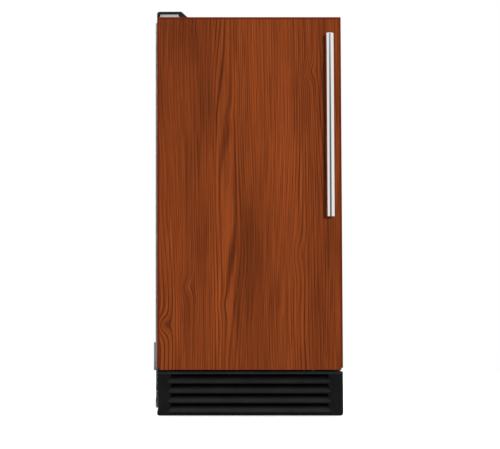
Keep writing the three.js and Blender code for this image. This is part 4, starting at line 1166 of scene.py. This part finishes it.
# Mask of the painted shade: the part of the arm inboard of the door's left edge.
painted_shade_mask = spread(tree, sideways, -0.1872, -0.1862)
shade_mix = add_node(tree, "ShaderNodeMix", {0: painted_shade_mask, 7: (0.006, 0.006, 0.006, 1)}, data_type="RGBA")
tree.links.new(bare, shade_mix.inputs[6])
tree.links.new(shade_mix.outputs[2], shader.inputs["Base Color"])
tree.links.new(spread(tree, painted_shade_mask, 0.0, 1.0, 0.35, 0.0), shader.inputs["Metallic"])
refined("hinge_bracket_bottom", "cabinet", plated_with_painted_shade, ease=0.9, segments=3)
refined("hinge_cover", "cabinet", black, ease=0.9, segments=3)
hinge_at = np.array([-175.0, -246.0, 0.0])
head = 816.2
for end in ("top", "bottom"):
    low, high = box_of(f"hinge_pin_{end}")
    bottom, top = low[2], high[2]
    if end == "top":
        profile = [(0, bottom), (3, bottom), (3.8, bottom + 0.8), (4, bottom + 1.6)]
        profile += [(4, head), (5.7, head + 0.1), (6, head + 0.5), (5.8, head + 1.8), (5.0, head + 2.4)]
        profile += [(2.4, top), (2.2, head + 1.2), (0, head + 1.0)]
    else:
        profile = [(0, bottom), (3.7, bottom), (4, bottom + 0.5), (4, top - 1.6), (3.8, top - 0.8),
                   (3, top), (0, top)]
    piece(f"hinge_pin_{end}", [turned(profile, hinge_at)], "cabinet", "hinge_steel", plated,
          f"hinge_pin_{end}")

# ---- Door shell, foam and inner liner ----
# A folded steel pan, filled with foam and closed by a formed plastic liner with a raised dyke,
# which keeps ice off the gasket.
refined("door_pan", "door", enamel, ease=1.9, segments=4)
low, high = box_of("door_liner")
half_u, half_v = (high[0] - low[0]) / 2, (high[2] - low[2]) / 2
middle = np.array([0.0, (high[2] + low[2]) / 2])
dyke_middle = np.array([0.0, 520.0])
dyke_wide, dyke_tall, dyke_rise = 152, 246, 11
steps = [
    (half_u, half_v, 2.0, middle, low[1]),
    (half_u, half_v, 2.0, middle, high[1] - 0.6),
    (half_u - 0.6, half_v - 0.6, 1.6, middle, high[1]),
    (dyke_wide, dyke_tall, 22, dyke_middle, high[1]),
]
climb = np.linspace(0, 1, 7)[1:]
smooth_climb = climb * climb * (3 - 2 * climb)
for c, s in zip(climb, smooth_climb):
    steps.append((dyke_wide - 7 * c, dyke_tall - 7 * c, 22 - 3 * c, dyke_middle, high[1] + dyke_rise * s))
steps.append((dyke_wide - 21, dyke_tall - 14, 14, dyke_middle, high[1] + dyke_rise))
for c, s in zip(climb, smooth_climb):
    inner_y = high[1] + dyke_rise - 10 * s
    steps.append((dyke_wide - 21 - 8 * c, dyke_tall - 14 - 8 * c, 14 - 3 * c, dyke_middle, inner_y))
rings = [stand_up(*(round_loop(u, v, r, 10) + m).T, y, 1) for u, v, r, m, y in steps]
liner_parts = [skin(np.stack(rings), around=True, cap_first=True, cap_last=True)]
piece("door_liner", liner_parts, "door", "white_liner", white_moulding, "door_liner", crease=50)

# ---- Door gasket ----
# A soft grey extrusion pushed into the liner's edge: a magnet pocket in front, a folded bellows
# behind it, mitred and welded at the four corners.
seal = finish("gasket_rubber", (0.30, 0.31, 0.32), (0.35, 0.36, 0.37), 0.62, 0.08, stretch=(80, 80, 80),
              grain=8.0, bump=0.15, dust=0.05, Sheen_Weight=0.15)
low, high = box_of("door_gasket")
y0, y1 = low[1], high[1]
gasket_path = round_loop(166.0, 259.0, 8.0, 8) + [0, 522.0]
gasket_path = stand_up(*gasket_path.T, (y0 + y1) / 2, 1)
half_deep = (y1 - y0) / 2
fold = [(-6.8, half_deep), (-7.0, half_deep - 0.5), (-6.8, 0.9), (-5.6, 0.3), (-6.6, -0.5),
        (-6.9, -1.4), (-6.6, -half_deep + 0.3), (-6.0, -half_deep), (6.0, -half_deep),
        (6.6, -half_deep + 0.3), (6.9, -1.4), (6.6, -0.5), (5.6, 0.3), (6.8, 0.9),
        (7.0, half_deep - 0.5), (6.8, half_deep)]
gasket = carried([(a, -b) for a, b in fold], gasket_path, closed=True, level=(0, 1, 0))
piece("door_gasket", [gasket], "door", "gasket_rubber", seal, "door_gasket", crease=40)

# ---- Door bushings ----
# White nylon rings pressed into the door's top and bottom. The hinge pins turn in them and carry
# the door.
for end in ("bottom", "top"):
    low, high = box_of(f"door_bushing_{end}")
    z0, z1 = low[2], high[2]
    ring_profile = [(4.25, z0 + 0.3), (4.55, z0), (7.2, z0), (7.5, z0 + 0.3), (7.5, z1 - 0.3),
                    (7.2, z1), (4.55, z1), (4.25, z1 - 0.3)]
    bush = turned(ring_profile, hinge_at, ring=True)
    piece(f"door_bushing_{end}", [bush], "door", "white_plastic", white_moulding, f"door_bushing_{end}")

# ---- Overlay panel ----
# A veneered board with solid lipping on its edges, screwed to the door from behind, stained a deep
# reddish brown and varnished satin. Both bottom corners are relieved for the hinge arm.
board_low, board_high = box_of("wood_panel")
half, z0, z1 = board_high[0], board_low[2], board_high[2]
relief_wide, relief_tall = 3.0, 4.0
outline = np.array([
    (relief_wide - half, z0), (half - relief_wide, z0), (half - relief_wide, z0 + relief_tall),
    (half, z0 + relief_tall), (half, z1), (-half, z1), (-half, z0 + relief_tall),
    (relief_wide - half, z0 + relief_tall),
])
board = plate(outline, 1, board_low[1], board_high[1], edge=0.9, steps=4)

varnished = bpy.data.materials.new("varnished_veneer")
varnished.use_nodes = True
tree = varnished.node_tree
shader = tree.nodes["Principled BSDF"]
where = add_node(tree, "ShaderNodeTexCoord").outputs["Object"]
across, _, upward = add_node(tree, "ShaderNodeSeparateXYZ", {0: where}).outputs

# The growth rings run up the board. Each swelling pushes them sideways round an old knot or the
# tip of an arch: (across, up, wide, tall, push), in metres.
swellings = [
    (-0.046, 0.612, 0.016, 0.022, 0.0045),
    (-0.050, 0.226, 0.015, 0.020, 0.0042),
    (-0.178, 0.184, 0.016, 0.022, 0.0170),
    (-0.130, 0.262, 0.014, 0.020, 0.0100),
    (0.122, 0.700, 0.012, 0.022, 0.0090),
    (0.050, 0.560, 0.060, 0.220, -0.0070),
    (0.098, 0.330, 0.012, 0.034, 0.0080),
    (-0.004, 0.330, 0.030, 0.110, -0.0085),
    (-0.165, 0.720, 0.050, 0.140, 0.0080),
    (0.070, 0.180, 0.060, 0.160, 0.0060),
]
wander_at = add_node(tree, "ShaderNodeVectorMath", {0: where, 1: (6.0, 0.0, 1.5)},
                     operation="MULTIPLY").outputs[0]
wander = add_node(tree, "ShaderNodeTexNoise", {"Vector": wander_at, "Scale": 1.0, "Detail": 2.0}).outputs[0]
ring_place = sum_of(tree, "MULTIPLY_ADD", wander, 0.018, across)


def add_bells(value, bells):
    """Adds a weighted bell curve round each spot (across, up, wide, tall, weight): the weight times
    exp(-distance squared), with the distance measured in widths across and in heights up."""
    for x, z, wide, tall, weight in bells:
        moved = add_node(tree, "ShaderNodeVectorMath", {0: where, 1: (x, 0, z)},
                         operation="SUBTRACT").outputs[0]
        sized = {0: moved, 1: (1 / wide, 0, 1 / tall)}
        scaled = add_node(tree, "ShaderNodeVectorMath", sized, operation="MULTIPLY").outputs[0]
        squared = {0: scaled, 1: scaled}
        away = add_node(tree, "ShaderNodeVectorMath", squared, operation="DOT_PRODUCT").outputs["Value"]
        bell = sum_of(tree, "EXPONENT", sum_of(tree, "MULTIPLY", away, -1.0))
        value = sum_of(tree, "MULTIPLY_ADD", bell, weight, value)
    return value


ring_place = add_bells(ring_place, swellings)


def figure(rings_per_metre, lengthways, detail, seed):
    """Noise drawn out along the rings."""
    place = {0: sum_of(tree, "MULTIPLY", ring_place, rings_per_metre), 1: float(seed),
             2: sum_of(tree, "MULTIPLY", upward, lengthways)}
    vector = add_node(tree, "ShaderNodeCombineXYZ", place).outputs[0]
    return add_node(tree, "ShaderNodeTexNoise",
                    {"Vector": vector, "Scale": 1.0, "Detail": detail}).outputs[0]


bands = figure(16.0, 1.6, 1.0, 3)
rings = figure(105.0, 2.2, 2.0, 11)
lines = figure(420.0, 7.0, 2.0, 23)
fibre = figure(1500.0, 45.0, 1.0, 41)

# Year lines: thin dark late wood every five or six millimetres, the spacing drifting over the board.
drift = figure(11.0, 0.9, 1.0, 7)
years_per_metre, years_of_drift = 185.0, 16.0
drifted = sum_of(tree, "MULTIPLY", drift, years_of_drift)
year = sum_of(tree, "MULTIPLY_ADD", ring_place, years_per_metre, drifted)
tooth = sum_of(tree, "PINGPONG", sum_of(tree, "ADD", year, 500.0), 0.5)
year_lines = spread(tree, tooth, 0.04, 0.26, -1.0, 0.35)
year_strength = spread(tree, figure(22.0, 2.4, 2.0, 19), 0.36, 0.62, 0.1, 0.85)
bold_columns = [
    (-0.058, 0.42, 0.034, 0.52, 0.75),
    (0.105, 0.42, 0.026, 0.42, 0.6),
    (-0.168, 0.17, 0.034, 0.09, 0.7),
    (-0.172, 0.76, 0.03, 0.08, 0.5),
]
year_strength = add_bells(year_strength, bold_columns)

# Broad darker and paler stretches: (across, up, wide, tall, weight).
stretches = [
    (-0.100, 0.620, 0.026, 0.300, -0.30),
    (0.000, 0.300, 0.024, 0.150, -0.42),
    (0.140, 0.300, 0.030, 0.300, -0.24),
    (0.148, 0.700, 0.030, 0.120, -0.16),
    (-0.160, 0.780, 0.050, 0.080, -0.26),
    (0.040, 0.680, 0.045, 0.200, 0.26),
    (-0.060, 0.330, 0.030, 0.230, 0.20),
    (0.080, 0.500, 0.030, 0.200, 0.14),
    (-0.150, 0.200, 0.030, 0.150, 0.16),
]
tone = sum_of(tree, "MULTIPLY_ADD", bands, 0.55, -0.22)
tone = add_bells(tone, stretches)
ring_lines = spread(tree, rings, 0.34, 0.5, -1.0, 0.25)
tone = sum_of(tree, "MULTIPLY_ADD", ring_lines, 0.16, tone)
tone = sum_of(tree, "MULTIPLY_ADD", sum_of(tree, "MULTIPLY", year_lines, year_strength), 0.56, tone)
fine_lines = spread(tree, lines, 0.36, 0.60, -0.8, 0.55)
tone = sum_of(tree, "MULTIPLY_ADD", fine_lines, 0.44, tone)
tone = sum_of(tree, "MULTIPLY_ADD", sum_of(tree, "SUBTRACT", fibre, 0.5), 0.5, tone)
stain = add_node(tree, "ShaderNodeValToRGB", {0: sum_of(tree, "MULTIPLY_ADD", tone, 0.5, 0.5, clamp=True)})
darkest, palest = stain.color_ramp.elements
darkest.color = (0.070, 0.0165, 0.0052, 1)
palest.color = (0.37, 0.080, 0.0175, 1)
halfway = stain.color_ramp.elements.new(0.5)
halfway.color = (0.200, 0.0410, 0.0096, 1)

# The lipping shows as a narrow darker, redder border on both sides and the top.
sideways = sum_of(tree, "ABSOLUTE", across)
from_side = sum_of(tree, "SUBTRACT", float(half * 0.001), sideways)
from_top = sum_of(tree, "SUBTRACT", float(z1 * 0.001), upward)
from_edge = sum_of(tree, "MINIMUM", from_side, from_top)
lipping = spread(tree, from_edge, 0.0038, 0.0052, 1.0, 0.0)
shaded = add_node(tree, "ShaderNodeMix", {0: sum_of(tree, "MULTIPLY", lipping, 0.88)}, data_type="RGBA")
tree.links.new(stain.outputs[0], shaded.inputs[6])
shaded.inputs[7].default_value = (0.140, 0.0162, 0.0026, 1)
tree.links.new(shaded.outputs[2], shader.inputs["Base Color"])
gloss = sum_of(tree, "MULTIPLY_ADD", lines, 0.12, 0.38)
tree.links.new(gloss, shader.inputs["Roughness"])
relief = sum_of(tree, "MULTIPLY_ADD", rings, 0.6, sum_of(tree, "ADD", fibre, lines))
raised = {"Strength": 0.22, "Distance": 0.00015, "Height": relief}
tree.links.new(add_node(tree, "ShaderNodeBump", raised).outputs[0], shader.inputs["Normal"])
shader.inputs["Specular IOR Level"].default_value = 0.14
shader.inputs["Coat Weight"].default_value = 0.04
shader.inputs["Coat Roughness"].default_value = 0.25
piece("wood_panel", [board], "door", "wood", varnished, "wood_panel", crease=50)

# ---- Handle ----
# A drawn stainless bar with eased ends, polished lengthways, on two short turned posts that are
# bolted through the board.
polished = finish("polished_bar", (0.86, 0.865, 0.87), (0.8, 0.805, 0.81), 0.13, 0.06, 1.0,
                  stretch=(900, 900, 6), grain=4.0, bump=0.05, depth=0.00005, Anisotropic=0.4)
low, high = box_of("handle_bar")
centre = (low + high) / 2 * (1, 1, 0)
bar_radius = (high[0] - low[0]) / 2
turn = np.linspace(0, math.pi / 2, 6)
ease = 1.1
bottom_end = [(0, low[2])] + [(bar_radius - ease + ease * math.sin(a),
                               low[2] + ease - ease * math.cos(a)) for a in turn]
top_end = [(r, low[2] + high[2] - z) for r, z in bottom_end[::-1]]
piece("handle_bar", [turned(bottom_end + top_end, centre, segments=96)], "door", "handle_steel",
      polished, "handle_bar", crease=50)
for end in ("lower", "upper"):
    low, high = box_of(f"handle_post_{end}")
    centre = (low + high) / 2 * (1, 0, 1)
    y0, y1 = low[1] + 0.01, high[1]
    profile = [(0, y0), (3.9, y0), (4.1, y0 + 0.8), (3.6, y0 + 3), (3.6, y1 - 5), (4.0, y1 - 2.4),
               (4.5, y1 - 1.6), (4.5, y1 - 0.3), (4.2, y1), (0, y1)]
    piece(f"handle_post_{end}", [turned(profile, centre, axis=1, segments=48)], "door", "handle_steel",
          polished, f"handle_post_{end}")
